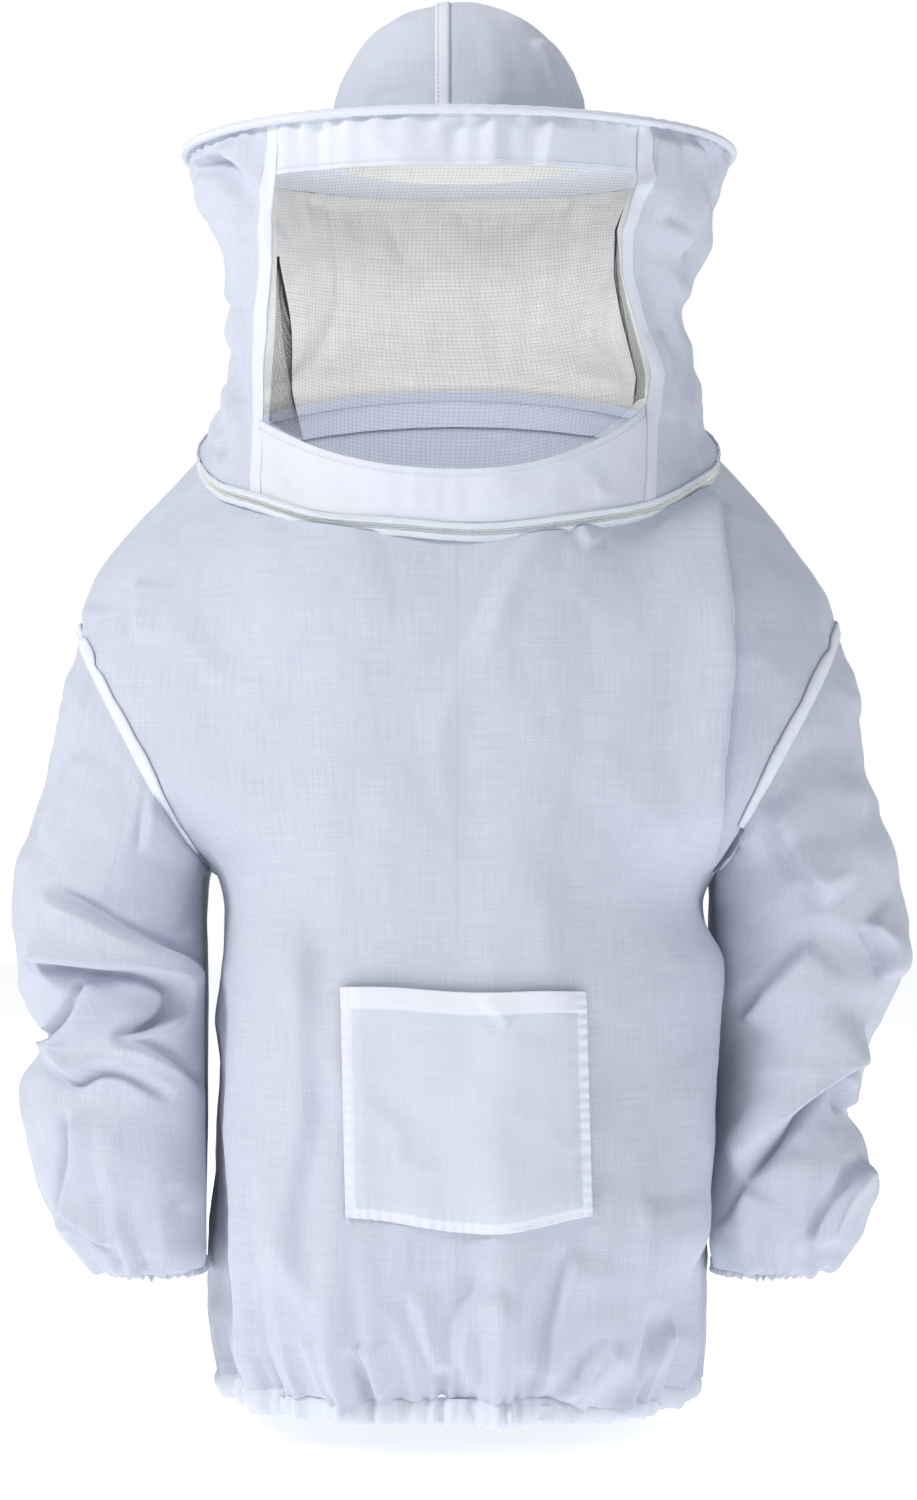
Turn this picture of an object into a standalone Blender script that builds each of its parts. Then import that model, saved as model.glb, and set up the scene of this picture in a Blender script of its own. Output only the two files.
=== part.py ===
"""Beekeeping smock with an attached round veil hat.

Metres, +Z up, the front faces -Y and the wearer's left is +X. The origin is the middle of the
neck zip, at the base of the wearer's neck. Soft panels are plain thin shells at their true place.
"""
import math

import bmesh
import bpy
from mathutils import Matrix, Vector

# Neck zip: a circle tipped so that its front is low
RING_RADIUS = 0.200
RING_TILT = math.radians(20.0)
ZIP_END = math.radians(118.0)       # teeth run this far round from the front, on both sides
TAPE_END = math.radians(120.0)
SEWN_START = math.radians(121.0)    # behind this the hat is sewn to the smock
TAPE_THICKNESS = 0.0010
TOOTH_THICKNESS = 0.0030
TEETH_LOW, TEETH_HIGH = 0.0008, 0.0023              # each half's teeth, from the zip's plane
TAPE_LOW, TAPE_HIGH = 0.0026, 0.0080                # each half's tape, likewise
STOP_THICKNESS, STOP_LOW = 0.0038, 0.0006
STOP_START, STOP_LENGTH = 0.004, 0.014              # radians past the teeth's end
SEWN_DEPTH = 0.0078
SLIDER_PARKED = math.radians(-116.0)
SLIDER_LENGTH = 0.0110
SLIDER_HEIGHT = 0.0100
SLIDER_HALF_WIDTH, SLIDER_WALL, SLIDER_BRIDGE = 0.0042, 0.0012, 0.0010
LUG_LENGTH, LUG_HEIGHT, LUG_INNER, LUG_OUTER = 0.0022, 0.0024, 0.0035, 0.0072
LUG_PIN = 0.0058                    # where the pull swings, outward from the zip's circle
PULL_LENGTH = 0.0220
PULL_WIDTH = 0.0065
PULL_THICKNESS = 0.0011
PULL_FORK = 0.0016                  # half width of the slot that goes over the lug
PULL_FORK_START, PULL_FORK_DEPTH = -0.0009, 0.0046
PULL_DROP = math.radians(32.0)      # how far the hanging pull points below the zip's plane

# Smock
CLOTH = 0.0020
HEM_HEIGHT = -0.720
HEM_CASING_DEPTH, HEM_CASING_WALL = 0.0064, 0.0016
HEM_ELASTIC = (-0.0042, -0.0022, -0.0135, -0.0030)   # inner, outer, low and high sides
ARMPIT = Vector((0.190, 0.0, -0.320))
SHOULDER_POINT = Vector((0.290, 0.0, -0.140))
ARMHOLE_HALF_DEPTH = 0.112
SEAM_WIDTH = 0.005
SHOULDER_HINGE = Vector((0.002, 0.0, 0.003))        # from the shoulder point to the sleeve's hinge
FACING_WIDTH = 0.016                # strip inside the neck that backs the zip
FACING_INSET = 0.0050
FACING_DROP = 0.0110
POCKET_LEFT, POCKET_RIGHT = -0.085, 0.095
POCKET_TOP, POCKET_BOTTOM = -0.396, -0.569
POCKET_GAP = 0.008
POCKET_RISE = 0.012                 # how far in from its sewn edges the pocket stands off
POCKET_COLUMNS, POCKET_ROWS = 10, 7
POCKET_HEM, POCKET_HEM_THICKNESS = 0.014, 0.0016

# Sleeve cuffs
CUFF_CENTER = Vector((0.2300, -0.034, -0.613))
CUFF_HALF_WIDTH, CUFF_HALF_DEPTH = 0.0400, 0.0420
CUFF_CASING = 0.012
CUFF_CASING_DEPTH, CUFF_CASING_WALL = 0.0060, 0.0015
CUFF_ELASTIC = (-0.0040, -0.0020, -0.0098, -0.0025)  # inner, outer, low and high sides

# Hat
HOOD_HINGE_OUT = 0.005              # the fold behind the sewn arc, outward from the zip's circle
BRIM_RADIUS = 0.2075
BRIM_HEIGHT = 0.231
BRIM_LAYER = 0.0016
BRIM_HOLLOW = 0.0028                # between the two layers, for the hoop
HOOP_RADIUS = 0.2030
HOOP_WIRE = 0.0020
BINDING_RADIUS = 0.2115
BINDING_WIRE = 0.00665
CROWN_HALF_WIDTH, CROWN_HALF_DEPTH = 0.1000, 0.1050
CROWN_BASE = BRIM_HEIGHT + 0.004
CROWN_TOP = 0.348
CROWN_POWER = 2.15
CROWN_SEAM_X = -0.012
CROWN_SEAM_WIDTH, CROWN_SEAM_LIFT, CROWN_SEAM_THICKNESS = 0.012, 0.0018, 0.0012
CROWN_SEAM_START, CROWN_SEAM_BACK = 0.003, -0.012   # above the crown's base, and short of its top
SWEATBAND_INSET, SWEATBAND_THICKNESS = 0.0052, 0.0020
SWEATBAND_LOW, SWEATBAND_HIGH = -0.010, 0.018       # from the crown's base
WINDOW_HALF_WIDTH = 0.138
WINDOW_TOP = 0.197
WINDOW_BAND = 0.012
COLLAR_HEIGHT = 0.032               # from the zip to the window, along the zip's normal
FRONT_PIECES_END = -0.02            # the window and its bands lie in front of this
REAR_SEAM = 0.094                   # where the side panels of the veil meet its back panel

GAP = 0.0005                        # clearance between neighbouring pieces
AROUND = 36                         # points round the body, the brim and the zip
ARC_STEPS = 30
SLEEVE_AROUND = 20
CROWN_AROUND, CROWN_LEVELS = 24, 7

# Rings of the smock from neck to hem:
# centre y, centre z, tilt in degrees, half width, front depth, back depth, squareness
SMOCK_RINGS = [
    (0.0029, -0.0080, 20, 0.2000, 0.200, 0.200, 2.0),
    (0.0, -0.0300, 18, 0.2250, 0.201, 0.201, 2.0),
    (0.0, -0.0750, 14, 0.2610, 0.200, 0.200, 2.0),
    (0.0, -0.1150, 10, 0.2835, 0.195, 0.195, 2.0),
    (0.0, -0.1450, 8, 0.2920, 0.191, 0.191, 2.05),
    (0.0, -0.1800, 6, 0.2970, 0.188, 0.187, 2.1),
    (0.0, -0.2300, 4, 0.2880, 0.184, 0.183, 2.2),
    (0.0, -0.2800, 2, 0.2350, 0.181, 0.180, 2.4),
    (0.0, -0.3200, 0, 0.1895, 0.180, 0.179, 2.6),
    (0.0, -0.4200, 0, 0.1870, 0.181, 0.180, 2.6),
    (0.0, -0.5300, 0, 0.1860, 0.182, 0.182, 2.6),
    (0.0, -0.6200, 0, 0.1840, 0.182, 0.180, 2.6),
    (0.0, -0.6700, 0, 0.1820, 0.174, 0.172, 2.5),
    (0.0, -0.7035, 0, 0.1755, 0.156, 0.154, 2.4),
]
# Rings of the veil from zip to brim, in the same order of values
VEIL_RINGS = [
    (-0.0029, 0.0080, 20, 0.1995, 0.199, 0.200, 2.0),
    (0.0, 0.0250, 18, 0.1830, 0.199, 0.198, 2.0),
    (0.0, 0.0500, 15, 0.1680, 0.199, 0.195, 2.0),
    (0.0, 0.0900, 11, 0.1600, 0.200, 0.190, 2.0),
    (0.0, 0.1300, 8, 0.1630, 0.203, 0.190, 2.0),
    (0.0, 0.1700, 4, 0.1780, 0.206, 0.196, 2.0),
    (0.0, 0.1970, 2, 0.1940, 0.208, 0.203, 2.0),
    (0.0, 0.2260, 0, 0.2070, 0.208, 0.208, 2.0),
]
# Rings of the left sleeve from armhole to cuff:
# centre x, centre y, centre z, tilt in degrees, half width, half depth
SLEEVE_RINGS = [
    (0.2444, 0.000, -0.2325, 60.9, 0.1020, 0.1110),
    (0.2600, -0.003, -0.2720, 44, 0.0900, 0.1030),
    (0.2690, -0.007, -0.3220, 24, 0.0765, 0.0940),
    (0.2710, -0.012, -0.3800, 6, 0.0735, 0.0880),
    (0.2700, -0.018, -0.4500, 0, 0.0740, 0.0850),
    (0.2670, -0.024, -0.5200, 0, 0.0725, 0.0820),
    (0.2590, -0.030, -0.5750, 0, 0.0670, 0.0760),
    (0.2430, -0.033, -0.6020, 0, 0.0530, 0.0600),
    (0.2300, -0.034, -0.6120, 0, 0.0400, 0.0420),
]

COTTON = ("white_cotton", (0.78, 0.80, 0.86), 0.85, 0.0)
LINING = ("cream_cotton", (0.80, 0.78, 0.72), 0.85, 0.0)
NETTING = ("black_netting", (0.02, 0.02, 0.02), 0.6, 0.0)
ZIP_TAPE = ("zip_tape", (0.80, 0.82, 0.74), 0.8, 0.0)
ZIP_COIL = ("zip_coil", (0.84, 0.86, 0.78), 0.35, 0.0)
METAL = ("slider_metal", (0.20, 0.19, 0.18), 0.35, 1.0)
ELASTIC = ("elastic", (0.85, 0.85, 0.85), 0.9, 0.0)
WIRE = ("spring_wire", (0.55, 0.56, 0.58), 0.35, 1.0)


def material(finish):
    """Return the material of a finish, made once."""
    name, colour, roughness, metallic = finish
    found = bpy.data.materials.get(name)
    if found:
        return found
    made = bpy.data.materials.new(name)
    made.use_nodes = True
    shader = made.node_tree.nodes["Principled BSDF"]
    shader.inputs["Base Color"].default_value = (*colour, 1.0)
    shader.inputs["Roughness"].default_value = roughness
    shader.inputs["Metallic"].default_value = metallic
    return made


def hinge_empty(name, point):
    """Add an empty on a joint, which the moving pieces hang from."""
    empty = bpy.data.objects.new(name, None)
    empty.location = point
    bpy.context.scene.collection.objects.link(empty)
    return empty


def finish_piece(name, bm, finish, parent, thickness=0.0):
    """Turn a bmesh into a named object; an open surface gets its cloth thickness inwards."""
    mesh = bpy.data.meshes.new(name)
    bm.to_mesh(mesh)
    bm.free()
    mesh.shade_smooth()
    mesh.set_sharp_from_angle(angle=math.radians(35.0))
    mesh.materials.append(material(finish))
    piece = bpy.data.objects.new(name, mesh)
    bpy.context.scene.collection.objects.link(piece)
    if thickness:
        wall = piece.modifiers.new("Cloth", "SOLIDIFY")
        wall.thickness = thickness
        wall.offset = -1.0
        wall.use_even_offset = True
    if parent:
        piece.parent = parent
        piece.matrix_parent_inverse = Matrix.Translation(parent.location).inverted()
    return piece


def rounded(value, power):
    """One coordinate of a superellipse from a sine or cosine."""
    return math.copysign(abs(value) ** (2.0 / power), value)


def body_ring(row, count=AROUND):
    """Points round the body, from the front towards the wearer's left."""
    center_y, center_z, tilt, half_width, front, back, power = row
    tilt = math.radians(tilt)
    points = []
    for index in range(count):
        angle = 2 * math.pi * index / count
        x = half_width * rounded(math.sin(angle), power)
        reach = -rounded(math.cos(angle), power)
        reach *= back if reach > 0 else front
        points.append(Vector((x, center_y + reach * math.cos(tilt), center_z + reach * math.sin(tilt))))
    return points


def sleeve_ring(row, side, count):
    """Points round a sleeve; side is 1 for the left sleeve and -1 for the right."""
    center_x, center_y, center_z, tilt, half_width, half_depth = row
    tilt = math.radians(tilt)
    points = []
    for index in range(count):
        angle = 2 * math.pi * index / count
        across = half_width * math.sin(angle)
        points.append(Vector((side * (center_x + across * math.cos(tilt)),
                              center_y - half_depth * math.cos(angle),
                              center_z + across * math.sin(tilt))))
    return points


def loft(rings):
    """Open tube through closed rings, its faces pointing away from the middle."""
    bm = bmesh.new()
    loops = [[bm.verts.new(point) for point in ring] for ring in rings]
    count = len(loops[0])
    for low, high in zip(loops, loops[1:]):
        for index in range(count):
            after = (index + 1) % count
            bm.faces.new((low[index], low[after], high[after], high[index]))
    bm.normal_update()
    outward = 0.0
    for ring, low in zip(rings, loops):
        middle = sum(ring, Vector()) / count
        for vert in low:
            outward += vert.normal.dot(vert.co - middle)
    if outward < 0:
        bmesh.ops.reverse_faces(bm, faces=bm.faces[:])
    return bm


def cut_away(bm, regions):
    """Remove each region, which is where a point lies beyond all of the region's planes."""
    for region in regions:
        for point, normal in region:
            bmesh.ops.bisect_plane(bm, geom=bm.verts[:] + bm.edges[:] + bm.faces[:], dist=1e-7,
                                   plane_co=point, plane_no=normal)
        gone = [face for face in bm.faces
                if all((face.calc_center_median() - point).dot(normal) > 0 for point, normal in region)]
        bmesh.ops.delete(bm, geom=gone, context="FACES")
    return bm


def sweep(path, profile, closed):
    """Closed solid of a profile carried along a path of (point, outward, up) frames."""
    bm = bmesh.new()
    loops = [[bm.verts.new(point + outward * a + up * b) for a, b in profile]
             for point, outward, up in path]
    count, around = len(loops), len(profile)
    for index in range(count if closed else count - 1):
        here, there = loops[index], loops[(index + 1) % count]
        for corner in range(around):
            after = (corner + 1) % around
            bm.faces.new((here[corner], here[after], there[after], there[corner]))
    if not closed:
        bm.faces.new(loops[0])
        bm.faces.new(loops[-1])
    bmesh.ops.recalc_face_normals(bm, faces=bm.faces[:])
    return bm


def box_profile(inner, outer, low, high):
    """Rectangle between two outward and two upward distances."""
    return [(inner, low), (outer, low), (outer, high), (inner, high)]


def channel_profile(depth, height, wall):
    """U channel that opens upwards, its outer face at zero and its floor at -height."""
    return [(0, 0), (0, -height), (-depth, -height), (-depth, 0),
            (-depth + wall, 0), (-depth + wall, -height + wall), (-wall, -height + wall), (-wall, 0)]


RING_UP = Vector((0.0, -math.sin(RING_TILT), math.cos(RING_TILT)))


def ring_frame(angle):
    """Point, outward and up directions on the zip's circle; 0 is the front, plus is the left."""
    outward = Vector((math.sin(angle), -math.cos(angle) * math.cos(RING_TILT),
                      -math.cos(angle) * math.sin(RING_TILT)))
    return outward * RING_RADIUS, outward, RING_UP


def ring_path(start, end, count):
    """Frames along the zip's circle."""
    return [ring_frame(start + (end - start) * index / count) for index in range(count + 1)]


def oval_path(center, across, along, half_width, half_depth, power, count, up):
    """Closed path of frames round an oval."""
    def place(angle):
        return (center + across * half_width * rounded(math.sin(angle), power)
                - along * half_depth * rounded(math.cos(angle), power))
    frames = []
    for index in range(count):
        angle = 2 * math.pi * (index + 0.5) / count
        tangent = place(angle + 0.01) - place(angle - 0.01)
        outward = tangent.cross(up).normalized()
        if outward.dot(place(angle) - center) < 0:
            outward.negate()
        frames.append((place(angle), outward, up))
    return frames


def front_depth(x, z):
    """Distance of the smock's front from the middle plane below the armpits."""
    rows = [row for row in SMOCK_RINGS if row[1] <= ARMPIT.z]
    for above, below in zip(rows, rows[1:]):
        if below[1] <= z <= above[1]:
            t = (above[1] - z) / (above[1] - below[1])
            width = above[3] + (below[3] - above[3]) * t
            depth = above[4] + (below[4] - above[4]) * t
            power = above[6] + (below[6] - above[6]) * t
            return depth * (1 - abs(x / width) ** power) ** (1 / power)
    return rows[-1][4]


def smock_surface(shrink=0.0):
    """Open surface of the smock from neck to hem, arms left in, drawn in by a small amount."""
    rows = [row[:3] + tuple(reach - shrink for reach in row[3:6]) + row[6:] for row in SMOCK_RINGS]
    return loft([body_ring(row) for row in rows])


def armhole_planes(side):
    """Region outside one armhole seam: beyond the seam's plane and above the armpit."""
    along = SHOULDER_POINT - ARMPIT
    normal = Vector((along.z * side, 0.0, -along.x)).normalized()
    seam = Vector((ARMPIT.x * side, 0.0, ARMPIT.z)) - normal * (SEAM_WIDTH / 2 + GAP)
    return [(seam, normal), (Vector((0, 0, ARMPIT.z)), Vector((0, 0, 1)))]


def make_smock_panels():
    """Front and back panels, which meet along the shoulders and sides."""
    for name, facing in (("front_panel", 1.0), ("back_panel", -1.0)):
        middle = Vector((0.0, -facing * GAP / 2, 0.0))
        regions = [[(middle, Vector((0.0, facing, 0.0)))], armhole_planes(1), armhole_planes(-1)]
        bm = cut_away(smock_surface(), regions)
        finish_piece(name, bm, COTTON, None, CLOTH)


def make_armhole_seam(name, side):
    """Folded seam strip round one armhole."""
    center = (ARMPIT + SHOULDER_POINT) / 2
    center.x *= side
    along = (SHOULDER_POINT - ARMPIT).normalized()
    along.x *= side
    normal = Vector((along.z * side, 0.0, -along.x * side))
    half_length = (SHOULDER_POINT - ARMPIT).length / 2
    path = oval_path(center, along, Vector((0, 1, 0)), half_length, ARMHOLE_HALF_DEPTH, 2.0,
                     SLEEVE_AROUND, normal)
    half = SEAM_WIDTH / 2
    finish_piece(name, sweep(path, box_profile(-CLOTH, 0.0005, -half, half), True), COTTON, None)


def make_pocket():
    """Patch pocket, sewn at its sides and bottom and standing off the front at its top."""
    def lift(x, z, extra):
        """Height of the pocket above the front panel."""
        inward = min(x - POCKET_LEFT, POCKET_RIGHT - x) / POCKET_RISE
        upward = (z - POCKET_BOTTOM) / POCKET_RISE
        return GAP + extra + (POCKET_GAP + CLOTH) * min(1.0, inward, upward)

    def sheet(bottom, top, extra, rows):
        bm = bmesh.new()
        grid = []
        for row in range(rows + 1):
            z = bottom + (top - bottom) * row / rows
            line = []
            for column in range(POCKET_COLUMNS + 1):
                share = column / POCKET_COLUMNS
                x = POCKET_LEFT + (POCKET_RIGHT - POCKET_LEFT) * (0.5 - 0.5 * math.cos(math.pi * share))
                line.append(bm.verts.new((x, -front_depth(x, z) - lift(x, z, extra), z)))
            grid.append(line)
        for low, high in zip(grid, grid[1:]):
            for column in range(POCKET_COLUMNS):
                bm.faces.new((low[column], low[column + 1], high[column + 1], high[column]))
        return bm

    body = sheet(POCKET_BOTTOM, POCKET_TOP - POCKET_HEM - GAP, CLOTH / 2, POCKET_ROWS)
    finish_piece("pocket_panel", body, COTTON, None, CLOTH / 2)
    hem = sheet(POCKET_TOP - POCKET_HEM, POCKET_TOP, POCKET_HEM_THICKNESS, 2)
    finish_piece("pocket_hem", hem, COTTON, None, POCKET_HEM_THICKNESS)


def make_hem():
    """Casing round the hem and the elastic that runs inside it."""
    last = SMOCK_RINGS[-1]
    top = last[1] - GAP
    path = oval_path(Vector((0, 0, top)), Vector((1, 0, 0)), Vector((0, 1, 0)),
                     last[3], (last[4] + last[5]) / 2, last[6], AROUND, Vector((0, 0, 1)))
    casing = channel_profile(HEM_CASING_DEPTH, top - HEM_HEIGHT, HEM_CASING_WALL)
    finish_piece("hem_casing", sweep(path, casing, True), COTTON, None)
    elastic = box_profile(*HEM_ELASTIC)
    finish_piece("hem_elastic", sweep(path, elastic, True), ELASTIC, None)


def make_sleeve(side, word, parent):
    """One sleeve with its cuff casing and cuff elastic."""
    bm = loft([sleeve_ring(row, side, SLEEVE_AROUND) for row in SLEEVE_RINGS])
    finish_piece(word + "_sleeve", bm, COTTON, parent, CLOTH)
    center = Vector((CUFF_CENTER.x * side, CUFF_CENTER.y, CUFF_CENTER.z))
    path = oval_path(center, Vector((1, 0, 0)), Vector((0, 1, 0)), CUFF_HALF_WIDTH, CUFF_HALF_DEPTH,
                     2.0, SLEEVE_AROUND, Vector((0, 0, 1)))
    casing = channel_profile(CUFF_CASING_DEPTH, CUFF_CASING, CUFF_CASING_WALL)
    finish_piece(word + "_cuff_casing", sweep(path, casing, True), COTTON, parent)
    elastic = box_profile(*CUFF_ELASTIC)
    finish_piece(word + "_cuff_elastic", sweep(path, elastic, True), ELASTIC, parent)


def make_neck():
    """Everything of the neck that stays on the smock: zip half, stops, facing and sewn arc."""
    half = TAPE_THICKNESS / 2
    tape = box_profile(-half, half, -TAPE_HIGH, -TAPE_LOW)
    run = ring_path(-TAPE_END, TAPE_END, ARC_STEPS)
    finish_piece("lower_zip_tape", sweep(run, tape, False), ZIP_TAPE, None)
    half = TOOTH_THICKNESS / 2
    teeth = box_profile(-half, half, -TEETH_HIGH, -TEETH_LOW)
    run = ring_path(-ZIP_END, ZIP_END, ARC_STEPS)
    finish_piece("lower_zip_teeth", sweep(run, teeth, False), ZIP_COIL, None)
    stop = box_profile(-STOP_THICKNESS / 2, STOP_THICKNESS / 2, -TEETH_HIGH, -STOP_LOW)
    for name, start in (("zip_top_stop", -1.0), ("zip_bottom_stop", 1.0)):
        arc = ring_path(start * (ZIP_END + STOP_START), start * (ZIP_END + STOP_START + STOP_LENGTH), 2)
        finish_piece(name, sweep(arc, stop, False), METAL, None)
    facing = [[above_ring(-FACING_DROP)], [above_ring(-FACING_DROP - FACING_WIDTH, -1)]]
    finish_piece("neck_facing", cut_away(smock_surface(FACING_INSET), facing), COTTON, None, TAPE_THICKNESS)
    sewn = box_profile(-half, half, -SEWN_DEPTH, 0.0)
    arc = ring_path(SEWN_START, 2 * math.pi - SEWN_START, ARC_STEPS // 2)
    finish_piece("back_neck_seam", sweep(arc, sewn, False), COTTON, None)


def make_slider(slider_empty, pull_empty):
    """H-shaped zip slider with its lug, and the forked pull that swings on the lug."""
    wall_out, half, bridge = SLIDER_HALF_WIDTH, SLIDER_HEIGHT / 2, SLIDER_BRIDGE / 2
    wall_in = wall_out - SLIDER_WALL
    profile = [(wall_out, -half), (wall_out, half), (wall_in, half), (wall_in, bridge),
               (-wall_in, bridge), (-wall_in, half), (-wall_out, half), (-wall_out, -half),
               (-wall_in, -half), (-wall_in, -bridge), (wall_in, -bridge), (wall_in, -half)]
    swing = SLIDER_LENGTH / 2 / RING_RADIUS
    body = sweep(ring_path(SLIDER_PARKED - swing, SLIDER_PARKED + swing, 6), profile, False)
    slider = finish_piece("zip_slider_body", body, METAL, slider_empty)
    swing = LUG_LENGTH / 2 / RING_RADIUS
    lug = sweep(ring_path(SLIDER_PARKED - swing, SLIDER_PARKED + swing, 1),
                box_profile(LUG_INNER, LUG_OUTER, -LUG_HEIGHT / 2, LUG_HEIGHT / 2), False)
    lug_piece = finish_piece("lug_guide", lug, METAL, slider_empty)
    lug_piece.hide_render = True
    lug_piece.display_type = "WIRE"
    join = slider.modifiers.new("Lug", "BOOLEAN")
    join.operation = "UNION"
    join.solver = "EXACT"
    join.object = lug_piece

    _, outward, up = ring_frame(SLIDER_PARKED)
    tangent = up.cross(outward).normalized()
    reach = outward * math.cos(PULL_DROP) - up * math.sin(PULL_DROP)
    flat = tangent.cross(reach).normalized()
    half_width = PULL_WIDTH / 2
    outline = [(PULL_FORK, PULL_FORK_DEPTH), (PULL_FORK, PULL_FORK_START), (half_width, PULL_FORK_START),
               (half_width, PULL_LENGTH - half_width)]
    for step in range(1, 6):
        angle = math.pi * step / 6
        outline.append((half_width * math.cos(angle), PULL_LENGTH - half_width + half_width * math.sin(angle)))
    outline += [(-x, y) for x, y in reversed(outline[:4])]
    bm = bmesh.new()
    faces = []
    for level in (-PULL_THICKNESS / 2, PULL_THICKNESS / 2):
        verts = [bm.verts.new(pull_empty.location + tangent * x + reach * y + flat * level)
                 for x, y in outline]
        faces.append(verts)
    bm.faces.new(faces[0])
    bm.faces.new(faces[1])
    for index in range(len(outline)):
        after = (index + 1) % len(outline)
        bm.faces.new((faces[0][index], faces[0][after], faces[1][after], faces[1][index]))
    bmesh.ops.recalc_face_normals(bm, faces=bm.faces[:])
    finish_piece("zip_pull_tab", bm, METAL, pull_empty)


def veil_patch(regions):
    """Part of the veil's surface that is left when the regions are cut away."""
    return cut_away(loft([body_ring(row) for row in VEIL_RINGS]), regions)


def beyond(x=None, y=None, z=None, facing=1.0):
    """Half space beyond one world plane; facing -1 takes the lower side."""
    if x is not None:
        return (Vector((x, 0, 0)), Vector((facing, 0, 0)))
    if y is not None:
        return (Vector((0, y, 0)), Vector((0, facing, 0)))
    return (Vector((0, 0, z)), Vector((0, 0, facing)))


def above_ring(height, facing=1.0):
    """Half space above (or below) a plane parallel to the zip's."""
    return (RING_UP * height, RING_UP * facing)


def make_veil(hood):
    """Veil of the hat: window, its bands, the collar below it and the cotton round the sides."""
    half = TAPE_THICKNESS / 2
    tape = box_profile(-half, half, TAPE_LOW, TAPE_HIGH)
    run = ring_path(-TAPE_END, TAPE_END, ARC_STEPS)
    finish_piece("upper_zip_tape", sweep(run, tape, False), ZIP_TAPE, hood)
    half = TOOTH_THICKNESS / 2
    teeth = box_profile(-half, half, TEETH_LOW, TEETH_HIGH)
    run = ring_path(-ZIP_END, ZIP_END, ARC_STEPS)
    finish_piece("upper_zip_teeth", sweep(run, teeth, False), ZIP_COIL, hood)

    edge, band = WINDOW_HALF_WIDTH, WINDOW_BAND
    rear = [beyond(y=FRONT_PIECES_END)]
    across = [[beyond(x=edge - GAP)], [beyond(x=-edge + GAP, facing=-1)]]
    finish_piece("front_collar_band", veil_patch([rear, [above_ring(COLLAR_HEIGHT - GAP)]] + across),
                 COTTON, hood, CLOTH)
    finish_piece("window_top_band", veil_patch([rear, [beyond(z=WINDOW_TOP + GAP, facing=-1)]] + across),
                 COTTON, hood, CLOTH)
    levels = [[above_ring(COLLAR_HEIGHT, -1)], [beyond(z=WINDOW_TOP)]]
    finish_piece("window_mesh", veil_patch([rear] + levels + across), NETTING, hood, CLOTH / 2)
    for word, side in (("left", 1), ("right", -1)):
        inner, outer = edge * side, (edge + band) * side
        sides = [[beyond(x=inner, facing=-side)], [beyond(x=outer - GAP * side, facing=side)]]
        finish_piece("window_%s_band" % word, veil_patch([rear] + sides), COTTON, hood, CLOTH)
        panel = [[beyond(x=outer, facing=-side), beyond(y=FRONT_PIECES_END, facing=-1)],
                 [beyond(x=0.0, facing=-side)], [beyond(y=REAR_SEAM - GAP)]]
        finish_piece("veil_%s_panel" % word, veil_patch(panel), COTTON, hood, CLOTH)
    finish_piece("veil_back_panel", veil_patch([[beyond(y=REAR_SEAM, facing=-1)]]), LINING, hood, CLOTH)


def make_brim(hood):
    """Two layers of the brim, the wire hoop between them and the piping round the edge."""
    def round_path(radius, height, count):
        return oval_path(Vector((0, 0, height)), Vector((1, 0, 0)), Vector((0, 1, 0)), radius, radius,
                         2.0, count, Vector((0, 0, 1)))

    width = BRIM_RADIUS - CROWN_HALF_DEPTH + 0.001
    for name, low in (("brim_top", BRIM_HOLLOW / 2), ("brim_underside", -BRIM_HOLLOW / 2 - BRIM_LAYER)):
        profile = box_profile(-width, 0.0, low, low + BRIM_LAYER)
        finish_piece(name, sweep(round_path(BRIM_RADIUS, BRIM_HEIGHT, AROUND), profile, True), COTTON, hood)

    def wire(radius, size, name, finish, sides):
        profile = [(size / 2 * math.cos(2 * math.pi * n / sides), size / 2 * math.sin(2 * math.pi * n / sides))
                   for n in range(sides)]
        finish_piece(name, sweep(round_path(radius, BRIM_HEIGHT, AROUND), profile, True), finish, hood)

    wire(HOOP_RADIUS, HOOP_WIRE, "brim_hoop", WIRE, 5)
    wire(BINDING_RADIUS, BINDING_WIRE, "brim_binding", COTTON, 6)


def crown_surface(grow):
    """Open dome of the crown, grown outwards by a small amount."""
    rings = []
    height = CROWN_TOP - CROWN_BASE + grow
    for level in range(CROWN_LEVELS):
        angle = math.pi / 2 * level / CROWN_LEVELS
        rise = height * math.sin(angle) ** (2 / CROWN_POWER)
        share = max(math.cos(angle), 0.0) ** (2 / CROWN_POWER)
        rings.append([Vector(((CROWN_HALF_WIDTH + grow) * share * math.sin(turn),
                              -(CROWN_HALF_DEPTH + grow) * share * math.cos(turn), CROWN_BASE + rise))
                      for turn in (2 * math.pi * index / CROWN_AROUND for index in range(CROWN_AROUND))])
    bm = loft(rings)
    bm.verts.ensure_lookup_table()
    top_edges = [edge for edge in bm.edges
                 if edge.is_boundary and all(v.co.z > CROWN_BASE + height / 2 for v in edge.verts)]
    tip = bm.verts.new((0, 0, CROWN_BASE + height))
    for edge in top_edges:
        bm.faces.new((*edge.verts, tip))
    bmesh.ops.recalc_face_normals(bm, faces=bm.faces[:])
    if sum(face.normal.dot(face.calc_center_median() - Vector((0, 0, CROWN_BASE))) for face in bm.faces) < 0:
        bmesh.ops.reverse_faces(bm, faces=bm.faces[:])
    return bm


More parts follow.
